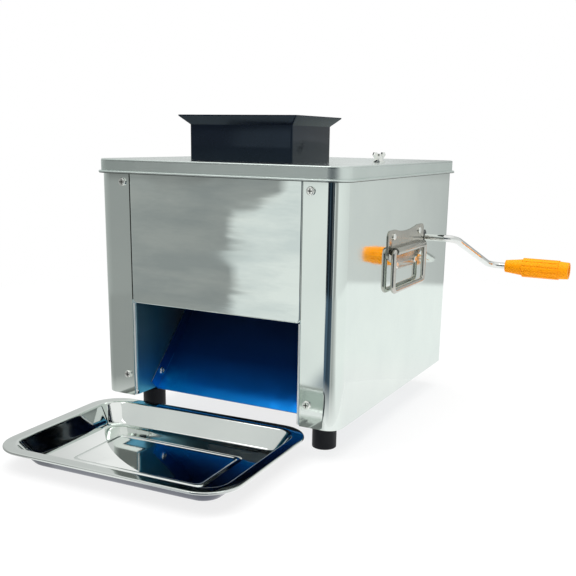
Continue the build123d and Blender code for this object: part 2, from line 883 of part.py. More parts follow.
for name, hand in hands.items():
    turn = radians(wing_nut_turns[name])
    foot = lid_top_height + washer_thickness
    wing_plane = Plane(
        origin=(machine_x + hand * stud_across, machine_y + stud_y, foot),
        x_dir=(cos(turn), sin(turn), 0),
        z_dir=(sin(turn), -cos(turn), 0),
    )
    with BuildPart() as wing_nut:
        with BuildSketch(level(foot)):
            circles([(hand * stud_across, stud_y)], wing_nut_hub_radius)
        with BuildSketch(level(foot + wing_nut_hub_height)):
            circles([(hand * stud_across, stud_y)], wing_nut_hub_top_radius)
        loft()
        with BuildSketch(wing_plane):
            with BuildLine():
                Polyline(
                    (0, wing_thickness),
                    (wing_nut_hub_radius, wing_thickness / 2),
                    (wing_nut_span / 2, wing_nut_height - wing_nut_tip_width / 2),
                    (wing_nut_span / 2 - wing_nut_tip_width / 4, wing_nut_height),
                    (wing_nut_span / 2 - wing_nut_tip_width, wing_nut_height),
                    (wing_nut_hub_top_radius, wing_nut_hub_height - wing_thickness / 2),
                    (0, wing_nut_hub_height - wing_thickness / 2),
                    close=True,
                )
            make_face()
            mirror(about=Plane.YZ)
        extrude(amount=wing_thickness / 2, both=True)
        with BuildSketch(level(foot)):
            circles([(hand * stud_across, stud_y)], stud_radius + running_clearance)
        extrude(amount=wing_nut_height, mode=Mode.SUBTRACT)
    save(wing_nut.part, f"{name}_wing_nut")

# Carrying handles: a riveted plate with a folded barrel, and a bail that swings in it
for name, hand in hands.items():
    with BuildPart() as handle_plate_part:
        with BuildSketch(side(hand * half_width)):
            with BuildLine():
                ThreePointArc(
                    (handle_y - ear_end, handle_top_height),
                    (handle_y, handle_top_height - handle_dip),
                    (handle_y + ear_end, handle_top_height),
                )
                Polyline(
                    (handle_y + ear_end, handle_top_height),
                    (handle_y + handle_half_width, handle_top_height),
                    (handle_y + handle_half_width, handle_waist_height),
                    (handle_y + handle_lower_half_width, handle_waist_height - handle_waist_slope),
                    (handle_y + handle_lower_half_width, handle_bottom_height),
                    (handle_y - handle_lower_half_width, handle_bottom_height),
                    (handle_y - handle_lower_half_width, handle_waist_height - handle_waist_slope),
                    (handle_y - handle_half_width, handle_waist_height),
                    (handle_y - handle_half_width, handle_top_height),
                    (handle_y - ear_end, handle_top_height),
                )
            make_face()
        extrude(amount=hand * handle_plate)
        outer = handle_plate_part.edges().filter_by(Axis.X)
        fillet(outer.filter_by(is_rounded_corner), handle_corner_radius)
        with BuildSketch(front(handle_y - barrel_half_length)):
            with Locations((hand * barrel_across, barrel_height)):
                Circle(barrel_radius)
            with Locations((hand * (half_width + barrel_across) / 2, barrel_height)):
                Rectangle(barrel_across - half_width, 2 * barrel_radius)
        extrude(amount=-2 * barrel_half_length)
        with BuildSketch(front(handle_y - barrel_half_length)):
            with Locations((hand * barrel_across, barrel_height)):
                Circle(bail_radius + running_clearance)
        extrude(amount=-2 * barrel_half_length, mode=Mode.SUBTRACT)
        with BuildSketch(side(hand * half_width)):
            circles(rivet_places, rivet_radius + fit_clearance)
        extrude(amount=hand * handle_plate, mode=Mode.SUBTRACT)
    save(handle_plate_part.part, f"{name}_handle_plate")

    with BuildPart() as bail:
        across = machine_x + hand * barrel_across
        middle = machine_y + handle_y
        with BuildLine() as bar:
            FilletPolyline(
                (across, middle - bail_leg_spread + bail_pin_length, barrel_height),
                (across, middle - bail_leg_spread, barrel_height),
                (across, middle - bail_leg_spread, barrel_height - bail_drop),
                (across, middle + bail_leg_spread, barrel_height - bail_drop),
                (across, middle + bail_leg_spread, barrel_height),
                (across, middle + bail_leg_spread - bail_pin_length, barrel_height),
                radius=[bail_top_radius, bail_corner_radius, bail_corner_radius, bail_top_radius],
            )
        with BuildSketch(Plane(origin=bar.line @ 0, z_dir=bar.line % 0)):
            Circle(bail_radius)
        sweep()
    save(bail.part, f"{name}_bail")

# Rivet with a domed head standing on the XY plane, then the rivets of both handles
with BuildPart() as rivet:
    with BuildSketch():
        Circle(rivet_head_radius)
    extrude(amount=rivet_head_height)
    fillet(rivet.edges().sort_by(Axis.Z)[-1], rivet_head_height * head_round_share)
    with BuildSketch():
        Circle(rivet_radius)
    extrude(amount=-handle_plate - sheet)
    with BuildSketch(Plane.XY.offset(-handle_plate - sheet)):
        Circle(rivet_tail_radius)
    extrude(amount=-rivet_tail_height)

rivet_planes = [
    outward(hand, half_width + handle_plate, *place)
    for hand in hands.values()
    for place in rivet_places
]
with BuildPart() as handle_rivets:
    with Locations(*rivet_planes):
        add(rivet.part)
save(handle_rivets.part, "handle_rivets")

# Crank: a shaft between the side plates, a bent rod in its end, and a turning grip
with BuildPart() as crank_shaft:
    with BuildSketch(side(-shaft_left_end)):
        circles([(crank_y, crank_height)], shaft_radius)
    extrude(amount=shaft_left_end + shaft_right_end)
    with BuildSketch(side(-shaft_left_end)):
        circles([(crank_y, crank_height)], shaft_head_radius)
    extrude(amount=shaft_head_thickness)
    with BuildSketch(side(shaft_right_end)):
        circles([(crank_y, crank_height)], crank_rod_radius + fit_clearance)
    extrude(amount=-crank_socket_depth, mode=Mode.SUBTRACT)
save(crank_shaft.part, "crank_shaft")

with BuildPart() as crank_rod:
    rod_start = machine_x + shaft_right_end - crank_socket_depth
    rod_end = machine_x + grip_end - grip_recess_depth + loose_clearance
    arm_across = machine_x + crank_arm_across
    with BuildLine() as rod_path:
        FilletPolyline(
            (rod_start, machine_y + crank_y, crank_height),
            (arm_across, machine_y + crank_y, crank_height),
            (arm_across, machine_y + grip_y, grip_height),
            (rod_end, machine_y + grip_y, grip_height),
            radius=crank_bend_radius,
        )
    with BuildSketch(Plane(origin=rod_path.line @ 0, z_dir=rod_path.line % 0)):
        Circle(crank_rod_radius)
    sweep()
    with BuildSketch(side(grip_end - grip_recess_depth + loose_clearance)):
        circles([(grip_y, grip_height)], screw_shank_radius + fit_clearance)
    extrude(amount=-grip_screw_depth - loose_clearance, mode=Mode.SUBTRACT)
save(crank_rod.part, "crank_rod")

with BuildPart() as crank_seal:
    with BuildSketch(side(half_width - sheet)):
        with Locations((crank_y, crank_height)):
            Circle(crank_seal_radius)
            Circle(crank_rod_radius + loose_clearance, mode=Mode.SUBTRACT)
    extrude(amount=-crank_seal_length)
save(crank_seal.part, "crank_seal")

grip_stages = (
    (0, grip_neck_radius, grip_neck_length, grip_shoulder_radius),
    (grip_neck_length, grip_radius, grip_cap_start, grip_radius),
    (grip_cap_start, grip_cap_radius, grip_length, grip_end_radius),
)
dot_turn = radians(grip_dot_angle)
dot_plane = Plane(
    origin=(machine_x + grip_start + grip_dot_along, machine_y + grip_y, grip_height),
    z_dir=(0, cos(dot_turn), sin(dot_turn)),
)
with BuildPart() as crank_grip:
    for start, near, end, far in grip_stages:
        with BuildSketch(side(grip_start + start)):
            circles([(grip_y, grip_height)], near)
        with BuildSketch(side(grip_start + end)):
            circles([(grip_y, grip_height)], far)
        loft()
    with BuildSketch(side(grip_start + grip_neck_length)):
        with Locations((grip_y, grip_height)):
            with PolarLocations(grip_flute_ring, grip_flutes, start_angle=grip_flute_angle):
                Circle(grip_flute_radius)
    extrude(amount=grip_cap_start - grip_neck_length, mode=Mode.SUBTRACT)
    with BuildSketch(dot_plane):
        Circle(grip_dot_radius)
    extrude(amount=grip_radius + grip_dot_rise)
    ends = crank_grip.faces().filter_by(Axis.X).sort_by(Axis.X)
    fillet(ends[0].outer_wire().edges() + ends[-1].outer_wire().edges(), grip_edge_radius)
    with BuildSketch(side(grip_start)):
        circles([(grip_y, grip_height)], crank_rod_radius + running_clearance)
    extrude(amount=grip_length, mode=Mode.SUBTRACT)
    with BuildSketch(side(grip_end)):
        circles([(grip_y, grip_height)], grip_recess_radius)
    extrude(amount=-grip_recess_depth, mode=Mode.SUBTRACT)
save(crank_grip.part, "crank_grip")

with BuildPart() as grip_screw:
    with BuildSketch(side(grip_end - grip_recess_depth + loose_clearance)):
        circles([(grip_y, grip_height)], grip_screw_head_radius)
    extrude(amount=grip_screw_head_height)
    fillet(grip_screw.edges().sort_by(Axis.X)[-1], grip_screw_head_height * head_round_share)
    with BuildSketch(side(grip_end - grip_recess_depth + loose_clearance)):
        circles([(grip_y, grip_height)], screw_shank_radius)
    extrude(amount=-grip_screw_depth)
save(grip_screw.part, "grip_screw")

# Gears in mesh: the crank gear drives the rear blade gear and the motor pinion
to_rear_gear = degrees(atan2(blade_height - crank_height, rear_blade_y - crank_y))
crank_phase = to_rear_gear
rear_phase = mesh_phase(crank_gear_teeth, crank_phase, blade_gear_teeth, to_rear_gear)
front_phase = mesh_phase(blade_gear_teeth, rear_phase, blade_gear_teeth, half_turn)
pinion_phase = mesh_phase(crank_gear_teeth, crank_phase, pinion_teeth, motor_angle)
gears = {
    "crank_gear": (crank_gear_teeth, crank_phase, crank_y, crank_height, shaft_radius),
    "rear_blade_gear": (blade_gear_teeth, rear_phase, rear_blade_y, blade_height, shaft_radius),
    "front_blade_gear": (blade_gear_teeth, front_phase, front_blade_y, blade_height, shaft_radius),
    "motor_pinion": (pinion_teeth, pinion_phase, motor_y, motor_height, motor_shaft_radius),
}
for name, values in gears.items():
    save(spur_gear(*values), name)

# Two blade shafts with round blades, set half a pitch apart so that the blades pass between
blade_shafts = {
    "rear": (rear_blade_y, rear_blade_count),
    "front": (front_blade_y, rear_blade_count - 1),
}
for name, (y, count) in blade_shafts.items():
    first = -blade_pitch * (count - 1) / 2
    with BuildPart() as blade_shaft:
        with BuildSketch(side(-shaft_left_end)):
            circles([(y, blade_height)], shaft_radius)
        extrude(amount=shaft_left_end + shaft_right_end)
        with BuildSketch(side(-shaft_left_end)):
            circles([(y, blade_height)], shaft_head_radius)
        extrude(amount=shaft_head_thickness)
    save(blade_shaft.part, f"{name}_blade_shaft")

    with BuildPart() as blades:
        for blade in range(count):
            with BuildSketch(side(first + blade * blade_pitch - blade_thickness / 2)):
                with Locations((y, blade_height)):
                    Circle(blade_radius)
                    Circle(shaft_radius + fit_clearance, mode=Mode.SUBTRACT)
            extrude(amount=blade_thickness)
    save(blades.part, f"{name}_blades")

    with BuildPart() as spacers:
        for gap in range(count - 1):
            with BuildSketch(side(first + gap * blade_pitch + blade_thickness / 2)):
                with Locations((y, blade_height)):
                    Circle(spacer_radius)
                    Circle(shaft_radius + fit_clearance, mode=Mode.SUBTRACT)
            extrude(amount=blade_pitch - blade_thickness)
        for hand in hands.values():
            stack_end = -first + blade_thickness / 2
            with BuildSketch(side(hand * stack_end)):
                with Locations((y, blade_height)):
                    Circle(sleeve_radius)
                    Circle(shaft_radius + fit_clearance, mode=Mode.SUBTRACT)
            extrude(amount=hand * (sleeve_end - stack_end))
    save(spacers.part, f"{name}_blade_spacers")

# Flanged bushes that carry the three shafts in the side plates
with BuildPart() as shaft_bushes:
    for hand in hands.values():
        for radius, start, length in (
            (bush_flange_radius, plate_inner_face, -bush_flange_thickness),
            (bush_radius, plate_inner_face, plate + bush_overhang),
        ):
            with BuildSketch(side(hand * start)):
                circles(bush_places, radius)
            extrude(amount=hand * length)
        with BuildSketch(side(hand * (plate_inner_face - bush_flange_thickness))):
            circles(bush_places, shaft_radius + running_clearance)
        extrude(amount=hand * (bush_flange_thickness + plate + bush_overhang), mode=Mode.SUBTRACT)
save(shaft_bushes.part, "shaft_bushes")

# Combs that strip the slices from between the blades
combs = {
    "rear": (rear_blade_y, rear_comb_angle, rear_blade_count - 1),
    "front": (front_blade_y, front_comb_angle, rear_blade_count - 2),
}
for name, (y, angle, fingers) in combs.items():
    with BuildPart() as comb:
        with BuildSketch(side(-plate_inner_face)):
            with Locations((y, blade_height)):
                with PolarLocations(comb_radius, 1, start_angle=angle):
                    Rectangle(comb_bar_depth, comb_bar_height)
        extrude(amount=2 * plate_inner_face)
        for finger in range(fingers):
            across = blade_pitch * (finger - (fingers - 1) / 2)
            with BuildSketch(side(across - comb_finger_width / 2)):
                with Locations((y, blade_height)):
                    with PolarLocations(comb_finger_radius, 1, start_angle=angle):
                        Rectangle(comb_reach, comb_finger_height)
            extrude(amount=comb_finger_width)
        for hand in hands.values():
            with BuildSketch(side(hand * plate_inner_face)):
                circles(cross_screw_places, screw_shank_radius + fit_clearance)
            extrude(amount=-hand * screw_length, mode=Mode.SUBTRACT)
    save(comb.part, f"{name}_comb")

# Gear motor: a ribbed motor with a vented cap, a gearbox bolted to the right side plate, its shaft
motor_place = (motor_y, motor_height)
with BuildPart() as gearbox:
    with BuildSketch(side(plate_inner_face)):
        with Locations(motor_place):
            RectangleRounded(gearbox_size, gearbox_size, gearbox_corner_radius)
    extrude(amount=-gearbox_length)
    with BuildSketch(side(plate_inner_face)):
        circles([motor_place], motor_shaft_radius + running_clearance)
        circles(motor_bolt_places, motor_bolt_radius + fit_clearance)
    extrude(amount=-motor_shaft_depth, mode=Mode.SUBTRACT)
save(gearbox.part, "gearbox")

with BuildPart() as motor_housing:
    with BuildSketch(side(plate_inner_face - gearbox_length)):
        with Locations(motor_place):
            Circle(motor_radius)
            with PolarLocations(motor_radius, motor_ribs):
                Circle(motor_rib_radius)
    extrude(amount=-motor_length)
save(motor_housing.part, "motor_housing")

with BuildPart() as motor_cap:
    with BuildSketch(side(plate_inner_face - gearbox_length - motor_length)):
        circles([motor_place], motor_cap_radius)
    extrude(amount=-motor_cap_length)
    fillet(motor_cap.edges().sort_by(Axis.X)[0], gearbox_corner_radius)
    with BuildSketch(side(plate_inner_face - gearbox_length - motor_length - motor_cap_length)):
        with Locations(motor_place):
            with PolarLocations(motor_vent_ring, motor_vents):
                Circle(motor_vent_radius)
    extrude(amount=motor_cap_length / 2, mode=Mode.SUBTRACT)
save(motor_cap.part, "motor_cap")

with BuildPart() as motor_shaft:
    with BuildSketch(side(plate_inner_face - motor_shaft_depth + loose_clearance)):
        circles([motor_place], motor_shaft_radius)
    extrude(amount=shaft_right_end - plate_inner_face + motor_shaft_depth - loose_clearance)
save(motor_shaft.part, "motor_shaft")

with BuildPart() as motor_bolts:
    with BuildSketch(side(plate_outer_face)):
        with Locations(*motor_bolt_places):
            RegularPolygon(motor_bolt_head_radius, 6)
    extrude(amount=motor_bolt_head_height)
    with BuildSketch(side(plate_outer_face)):
        circles(motor_bolt_places, motor_bolt_radius)
    extrude(amount=-motor_bolt_length)
save(motor_bolts.part, "motor_bolts")

# Capacitor in its clamp, and the terminal block, on the base plate
capacitor_height = base_top_height + clamp_thickness + fit_clearance + capacitor_radius
with BuildPart() as capacitor:
    with BuildSketch(side(capacitor_across - capacitor_length / 2)):
        circles([(capacitor_y, capacitor_height)], capacitor_radius)
    extrude(amount=capacitor_length)
    fillet(capacitor.edges().sort_by(Axis.X)[0], capacitor_radius * head_round_share / 4)
save(capacitor.part, "capacitor")

with BuildPart() as capacitor_clamp:
    with BuildSketch(side(capacitor_across - clamp_width / 2)):
        with Locations((capacitor_y, capacitor_height)):
            Circle(capacitor_radius + fit_clearance + clamp_thickness)
        with Locations((capacitor_y, base_top_height + clamp_thickness / 2)):
            Rectangle(2 * (capacitor_radius + clamp_foot), clamp_thickness)
        with Locations((capacitor_y, capacitor_height)):
            Circle(capacitor_radius + fit_clearance, mode=Mode.SUBTRACT)
    extrude(amount=clamp_width)
save(capacitor_clamp.part, "capacitor_clamp")

with BuildPart() as terminal_block:
    with BuildSketch(level(base_top_height)):
        with Locations((terminal_across, terminal_y)):
            Rectangle(terminal_length, terminal_depth)
    extrude(amount=terminal_height)
    with BuildSketch(level(base_top_height + terminal_height)):
        with Locations((terminal_across, terminal_y)):
            with GridLocations(terminal_length / terminal_ways, 0, terminal_ways, 1):
                Circle(screw_shank_radius)
    extrude(amount=-terminal_height / 2, mode=Mode.SUBTRACT)
save(terminal_block.part, "terminal_block")

# Cable gland in the rear panel, with its lock nut inside
gland_face = casing_depth - sheet
with BuildPart() as cable_gland:
    with BuildSketch(front(gland_face)):
        with Locations((gland_across, gland_height)):
            RegularPolygon(gland_nut_radius, 6)
    extrude(amount=-gland_hex_length)
    with BuildSketch(front(gland_face + gland_hex_length)):
        circles([(gland_across, gland_height)], gland_thread_radius)
    extrude(amount=-gland_dome_length)
    fillet(cable_gland.edges().sort_by(Axis.Y)[-1], gland_thread_radius / 4)
    with BuildSketch(front(gland_face)):
        circles([(gland_across, gland_height)], gland_thread_radius)
    extrude(amount=gland_thread_length)
    with BuildSketch(front(gland_face - gland_thread_length)):
        circles([(gland_across, gland_height)], gland_bore_radius)
    extrude(amount=-gland_thread_length - gland_hex_length - gland_dome_length, mode=Mode.SUBTRACT)
save(cable_gland.part, "cable_gland")

with BuildPart() as gland_nut:
    with BuildSketch(front(gland_face - sheet)):
        with Locations((gland_across, gland_height)):
            RegularPolygon(gland_nut_radius, 6)
            Circle(gland_thread_radius + fit_clearance, mode=Mode.SUBTRACT)
    extrude(amount=gland_hex_length)
save(gland_nut.part, "gland_nut")

# Rocker switch in the left side: its body with a pin, and the rocker that tilts on it
pin_across = -half_width + rocker_pin_inset
with BuildPart() as switch_body:
    with BuildSketch(side(-half_width)):
        with Locations((switch_y, switch_height)):
            Rectangle(switch_bezel_width, switch_bezel_height)
    extrude(amount=-switch_bezel_thickness)
    fillet(switch_body.edges().filter_by(Axis.X), switch_bezel_thickness)
    with BuildSketch(side(-half_width)):
        with Locations((switch_y, switch_height)):
            Rectangle(switch_body_width, switch_body_height)
    extrude(amount=switch_body_depth)
    with BuildSketch(side(-half_width - switch_bezel_thickness)):
        with Locations((switch_y, switch_height)):
            Rectangle(rocker_width + 2 * loose_clearance, rocker_height + 2 * loose_clearance + rocker_rise)
    extrude(amount=switch_bezel_thickness + switch_cavity_depth, mode=Mode.SUBTRACT)
    with BuildSketch(front(switch_y - switch_body_width / 2 + fit_clearance)):
        circles([(pin_across, switch_height)], rocker_pin_radius)
    extrude(amount=-switch_body_width + 2 * fit_clearance)
save(switch_body.part, "switch_body")

tilt = radians(rocker_tilt)
rocker_plane = Plane(
    origin=(machine_x + pin_across, machine_y + switch_y - rocker_width / 2, switch_height),
    x_dir=(cos(tilt), 0, sin(tilt)),
    z_dir=(0, -1, 0),
)
with BuildPart() as switch_rocker:
    with BuildSketch(rocker_plane):
        with BuildLine():
            Polyline(
                (rocker_keel, rocker_keel_height / 2),
                (rocker_keel, -rocker_keel_height / 2),
                (-rocker_shoulder, -rocker_height / 2),
                (-rocker_shoulder - rocker_rise, 0),
                (-rocker_shoulder, rocker_height / 2),
                close=True,
            )
        make_face()
        Circle(rocker_pin_radius + running_clearance, mode=Mode.SUBTRACT)
    extrude(amount=-rocker_width)
save(switch_rocker.part, "switch_rocker")

# Catch tray: sloped walls, a flat rim with a turned-down edge, and a raised frame in its floor
with BuildPart() as tray:
    for inset, mode in ((0, Mode.ADD), (tray_sheet, Mode.SUBTRACT)):
        base = tray_rim + tray_wall_inset + inset
        rim = tray_rim + inset
        with BuildSketch(tray_level(inset)):
            RectangleRounded(tray_length - 2 * base, tray_width - 2 * base, tray_base_corner_radius - inset)
        with BuildSketch(tray_level(tray_height)):
            RectangleRounded(tray_length - 2 * rim, tray_width - 2 * rim, tray_corner_radius - rim)
        loft(mode=mode)
    with BuildSketch(tray_level(tray_height)):
        RectangleRounded(tray_length, tray_width, tray_corner_radius)
        RectangleRounded(
            tray_length - 2 * tray_rim - 2 * tray_sheet,
            tray_width - 2 * tray_rim - 2 * tray_sheet,
            tray_corner_radius - tray_rim - tray_sheet,
            mode=Mode.SUBTRACT,
        )
    extrude(amount=-tray_sheet)
    with BuildSketch(tray_level(tray_height)):
        RectangleRounded(tray_length, tray_width, tray_corner_radius)
        RectangleRounded(
            tray_length - 2 * tray_bead_width,
            tray_width - 2 * tray_bead_width,
            tray_corner_radius - tray_bead_width,
            mode=Mode.SUBTRACT,
        )
    extrude(amount=-tray_bead_depth)
    with BuildSketch(tray_level(tray_sheet)):
        RectangleRounded(tray_panel_length, tray_panel_width, tray_panel_corner_radius)
        RectangleRounded(
            tray_panel_length - 2 * tray_panel_groove,
            tray_panel_width - 2 * tray_panel_groove,
            tray_panel_corner_radius - tray_panel_groove,
            mode=Mode.SUBTRACT,
        )
    extrude(amount=tray_panel_rise)
save(tray.part, "tray")
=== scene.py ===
import json
from math import cos, pi, radians, sin

import bmesh
import bpy
from mathutils import Matrix, Vector

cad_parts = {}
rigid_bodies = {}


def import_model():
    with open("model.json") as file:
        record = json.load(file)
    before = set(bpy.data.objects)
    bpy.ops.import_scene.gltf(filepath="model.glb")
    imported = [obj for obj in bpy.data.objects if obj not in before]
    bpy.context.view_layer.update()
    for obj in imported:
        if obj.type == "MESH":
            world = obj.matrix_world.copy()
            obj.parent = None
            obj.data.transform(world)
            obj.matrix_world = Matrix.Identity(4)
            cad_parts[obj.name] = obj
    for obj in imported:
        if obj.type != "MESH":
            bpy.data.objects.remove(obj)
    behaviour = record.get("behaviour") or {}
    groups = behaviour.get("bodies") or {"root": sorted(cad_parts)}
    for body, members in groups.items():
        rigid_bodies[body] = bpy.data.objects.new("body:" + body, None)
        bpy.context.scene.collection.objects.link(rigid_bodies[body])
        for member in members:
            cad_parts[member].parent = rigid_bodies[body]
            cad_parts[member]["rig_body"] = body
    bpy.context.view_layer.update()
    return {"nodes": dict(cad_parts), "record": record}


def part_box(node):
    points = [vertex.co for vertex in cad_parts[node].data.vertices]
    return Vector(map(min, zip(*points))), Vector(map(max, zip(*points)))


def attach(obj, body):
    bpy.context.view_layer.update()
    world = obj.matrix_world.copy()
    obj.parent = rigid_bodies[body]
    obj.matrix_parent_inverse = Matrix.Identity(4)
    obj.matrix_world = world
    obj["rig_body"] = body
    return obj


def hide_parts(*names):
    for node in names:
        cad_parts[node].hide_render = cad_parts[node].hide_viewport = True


# Electric meat slicer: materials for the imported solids, a pressed tray, small trim and a white studio.
# Units are metres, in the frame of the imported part.

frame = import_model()
nodes = frame["nodes"]
millimetre = 0.001

# Noise that several looks share, in features per metre, and how its bumps stand out
smudge_scale = 14.0
line_scale = 60.0
line_depth = 0.0002
wave_depth = 0.004
patch_scale = 25.0
skin_depth = 0.0001
mark_strength = 0.08
mark_depth = 0.0001

# How far the roughness of each kind of surface wanders, as shares of its middle value
sheet_gloss_shares = (0.8, 1.3)
moulded_gloss_shares = (0.85, 1.2)
machined_gloss_shares = (0.7, 1.4)

# Lid: small dents, the height under which its bead is darkened as painted shade, and a duller skirt under
# its top face
dent_scale = 55.0
dent_depth = 0.001
bead_shade_top = 0.2896
bead_shade_fade = 0.0006
skirt_dullness = 0.2
skirt_top = 0.303
skirt_fade = 0.002

# Front panel: how far its smears and its bent top edge tilt it, in radians, and where it bends
smear_tilt = 0.009
top_tilt = 0.06
top_bend_start = 0.2485
top_bend_end = 0.2785

# Side plates of the discharge bay: where their painted light and shade turn, and the painted reflection of
# the chute's blue low on them
bay_front = -0.1235
bay_back = 0.05
bay_reflection_share = 0.75
bay_reflection_full = 0.055
bay_reflection_end = 0.11

# Chute: its lip, its slope in degrees, and its sheet
chute_lip = (-0.0855, 0.0355)
chute_slope = 46.5
chute_flange = 0.0155
chute_length = 0.19
chute_sheet = 0.0012

# Film on the chute: where its colour turns, paler low down as painted reflection, its corner with a
# painted highlight, and its bubbles and creases
film_foot = 0.035
film_top = 0.115
film_highlight_start = -0.165
film_highlight_end = -0.12
film_highlight_foot = 0.04
film_highlight_top = 0.062
bubble_depth = 0.0006
crease_depth = 0.002

# Edges of the film, which thin out
film_radius = 0.0004
film_lip_end_share = 0.8
rim_end_share = 0.5
# Each pair is how far up the fold, then the share of the radius there
film_fold = ((0, 1), (0.02, 0.9), (0.05, 0.3))

# Roundness of the thin trims
trim_resolution = 2

# Dark strip beside the front panel: painted shade in its seam
seam_shade_radius = 0.00045
seam_shade_depth = 0.00085
seam_shade_inset = 0.0002
seam_shade_corner = 0.004

# Hems of the side plates, seen beside the flanges in the discharge bay
hem_radius = 0.0012
hem_inset = 0.0015
hem_rise = 0.0005

# Catch tray, turned in degrees as the solid is
tray_length = 0.272
tray_width = 0.200
tray_turn = 2.3
tray_corner_radius = 0.037
tray_sheet = 0.0009

# Front panel, with edges rolled back
panel_roll = 0.0018
panel_roll_steps = 4
panel_corner_radius = 0.005
panel_sheet = 0.001

# Steps around each corner, and along each side, of a rounded rectangle
corner_steps = 10
side_steps = 6

# Flange screws and their cross recesses
screw_across = 0.1155
screw_heights = (0.0606, 0.2795)
recess_length = 0.0051
recess_width = 0.00105
recess_floor = 0.0012
recess_fill = 0.0009
recess_edge = 0.0001
recess_segments = 2

# Nodes whose sharp edges are rounded, each with the width of the rounding
softened = {
    "hopper": 0.0006,
    "left_handle_plate": 0.0004,
    "right_handle_plate": 0.0004,
    "left_wing_nut": 0.0004,
    "right_wing_nut": 0.0004,
}
# How they are rounded: points this close are joined first, and the angles are in degrees
weld_distance = 0.00001
flat_angle = 1
sharp_angle = 40
soft_segments = 3

# Camera, fitted to the straight edges of the casing in the photograph
camera_place = Vector((0.41427, -0.86516, 0.3298))
camera_azimuth = 27.22
camera_elevation = 13.63
camera_roll = 0.98
camera_lens = 52.316
camera_shift = (-0.01368, 0.09137)

# Floor and light of the studio
floor_half_size = 6.0
floor_white = 0.98
floor_roughness = 0.9
floor_glow = 0.8
shadow_reach = 0.55
world_fill = 0.5

# Cloths around the machine, on the floor and upright, that only reflections see
wall_radius = 0.98
wall_height = 1.3
wall_steps = 96
wall_foot_start = 0.01
wall_foot_end = 0.02
cloth_lift = 0.002
floor_cloth_radius = 0.25
floor_cloth_full = 0.42
low_cloth_top = 0.24
high_cloth_top = 0.45
cloth_edge = 0.02
top_cloth_fade = 0.15
cloth_tint = (0.97, 1.0, 0.99)
dark_cloth_tint = (0.55, 0.9, 1.3)
dark_cloth_level = 0.15
# Each pair is an angle from the +X axis in degrees, then the brightness there
cloths = {
    "floor": (
        (-180, 0.45), (-150, 0.34), (-120.5, 0.35), (-119.9, 0.88), (-102, 0.90), (-98, 0.14),
        (-90, 0.14), (-86, 0.06), (-66, 0.10), (-62, 0.55), (-56, 0.40), (-40, 0.70),
        (-32, 1.0), (130, 1.0), (180, 0.45),
    ),
    "low": (
        (-180, 0.48), (-125, 0.36), (-120.5, 0.35), (-119.9, 0.86), (-103, 0.90), (-100, 0.03),
        (-92, 0.01), (-90, 0.13), (-87, 0.02), (-74, 0.02), (-72, 0.20), (-69, 0.04), (-65, 0.04),
        (-62, 0.85), (-57, 0.40), (-46, 0.40), (-40, 0.92), (50, 0.80), (66, 0.68), (80, 0.42),
        (98, 0.40), (110, 0.80), (180, 0.48),
    ),
    "high": (
        (-180, 0.55), (-135, 0.20), (-118, 0.16), (-112, 0.30), (-105, 0.20), (-100, 0.03),
        (-92, 0.02), (-90, 0.10), (-87, 0.02), (-65, 0.03), (-60, 0.12), (-50, 0.16),
        (-42, 0.80), (50, 0.76), (62, 0.62), (75, 0.44), (95, 0.38), (110, 0.78), (180, 0.55),
    ),
    "top": ((-180, 0.74), (180, 0.74)),
}
# The radial gradient grows by 1 over a full turn, and is a half on the +X axis
full_turn = 360
gradient_on_x = 0.5


# Helpers for node trees


def new_material(name):
    """A material with nodes, its tree and its shader."""
    material = bpy.data.materials.new(name)
    material.use_nodes = True
    return material, material.node_tree, material.node_tree.nodes["Principled BSDF"]


def set_inputs(tree, node, inputs):
    """Give each input of a node its value, or the socket that it is linked from."""
    for name, value in inputs.items():
        if isinstance(value, bpy.types.NodeSocket):
            tree.links.new(value, node.inputs[name])
        else:
            node.inputs[name].default_value = value


def add_node(tree, kind, inputs=None, **settings):
    """A node with its settings and its inputs."""
    made = tree.nodes.new(kind)
    for name, value in settings.items():
        setattr(made, name, value)
    set_inputs(tree, made, inputs or {})
    return made


def maths(tree, operation, *values):
    """Result of an operation on numbers or sockets."""
    return add_node(tree, "ShaderNodeMath", dict(enumerate(values)), operation=operation).outputs[0]


def vector_maths(tree, operation, *values, result="Vector"):
    """Result of an operation on vectors."""
    made = add_node(tree, "ShaderNodeVectorMath", dict(enumerate(values)), operation=operation)
    return made.outputs[result]


def own_place(tree):
    """Coordinates in the object's own space."""
    return add_node(tree, "ShaderNodeTexCoord").outputs["Object"]


def own_coordinate(tree, axis):
    """One coordinate in the object's own space."""
    return add_node(tree, "ShaderNodeSeparateXYZ", {"Vector": own_place(tree)}).outputs[axis]


def noise(tree, scale, stretch=(1, 1, 1), detail=3.0, roughness=0.5):
    """Noise over the object's own space, stretched along its axes."""
    mapping = {"Vector": own_place(tree), "Scale": stretch}
    mapped = add_node(tree, "ShaderNodeMapping", mapping).outputs["Vector"]
    inputs = {"Vector": mapped, "Scale": scale, "Detail": detail, "Roughness": roughness}
    return add_node(tree, "ShaderNodeTexNoise", inputs).outputs["Fac"]


def rolled_lines(tree, stretch):
    """Fine lines that rolling leaves in a sheet."""
    return noise(tree, line_scale, stretch=stretch, detail=4.0, roughness=0.65)


def spread(tree, value, low, high, start=0.3, end=0.7):
    """A value carried from the range start to end over to the range low to high."""
    inputs = {"Value": value, "From Min": start, "From Max": end, "To Min": low, "To Max": high}
    return add_node(tree, "ShaderNodeMapRange", inputs).outputs["Result"]


def uneven(tree, value, middle, shares):
    """A quantity that wanders with a value between two shares of its middle."""
    return spread(tree, value, middle * shares[0], middle * shares[1])


def blend(tree, share, first, second):
    """Two colours, or sockets that carry them, mixed by a share of the second."""
    first, second = (
        colour if isinstance(colour, bpy.types.NodeSocket) else (*colour, 1) for colour in (first, second)
    )
    inputs = {"Factor": share, "A": first, "B": second}
    return add_node(tree, "ShaderNodeMix", inputs, data_type="RGBA").outputs["Result"]


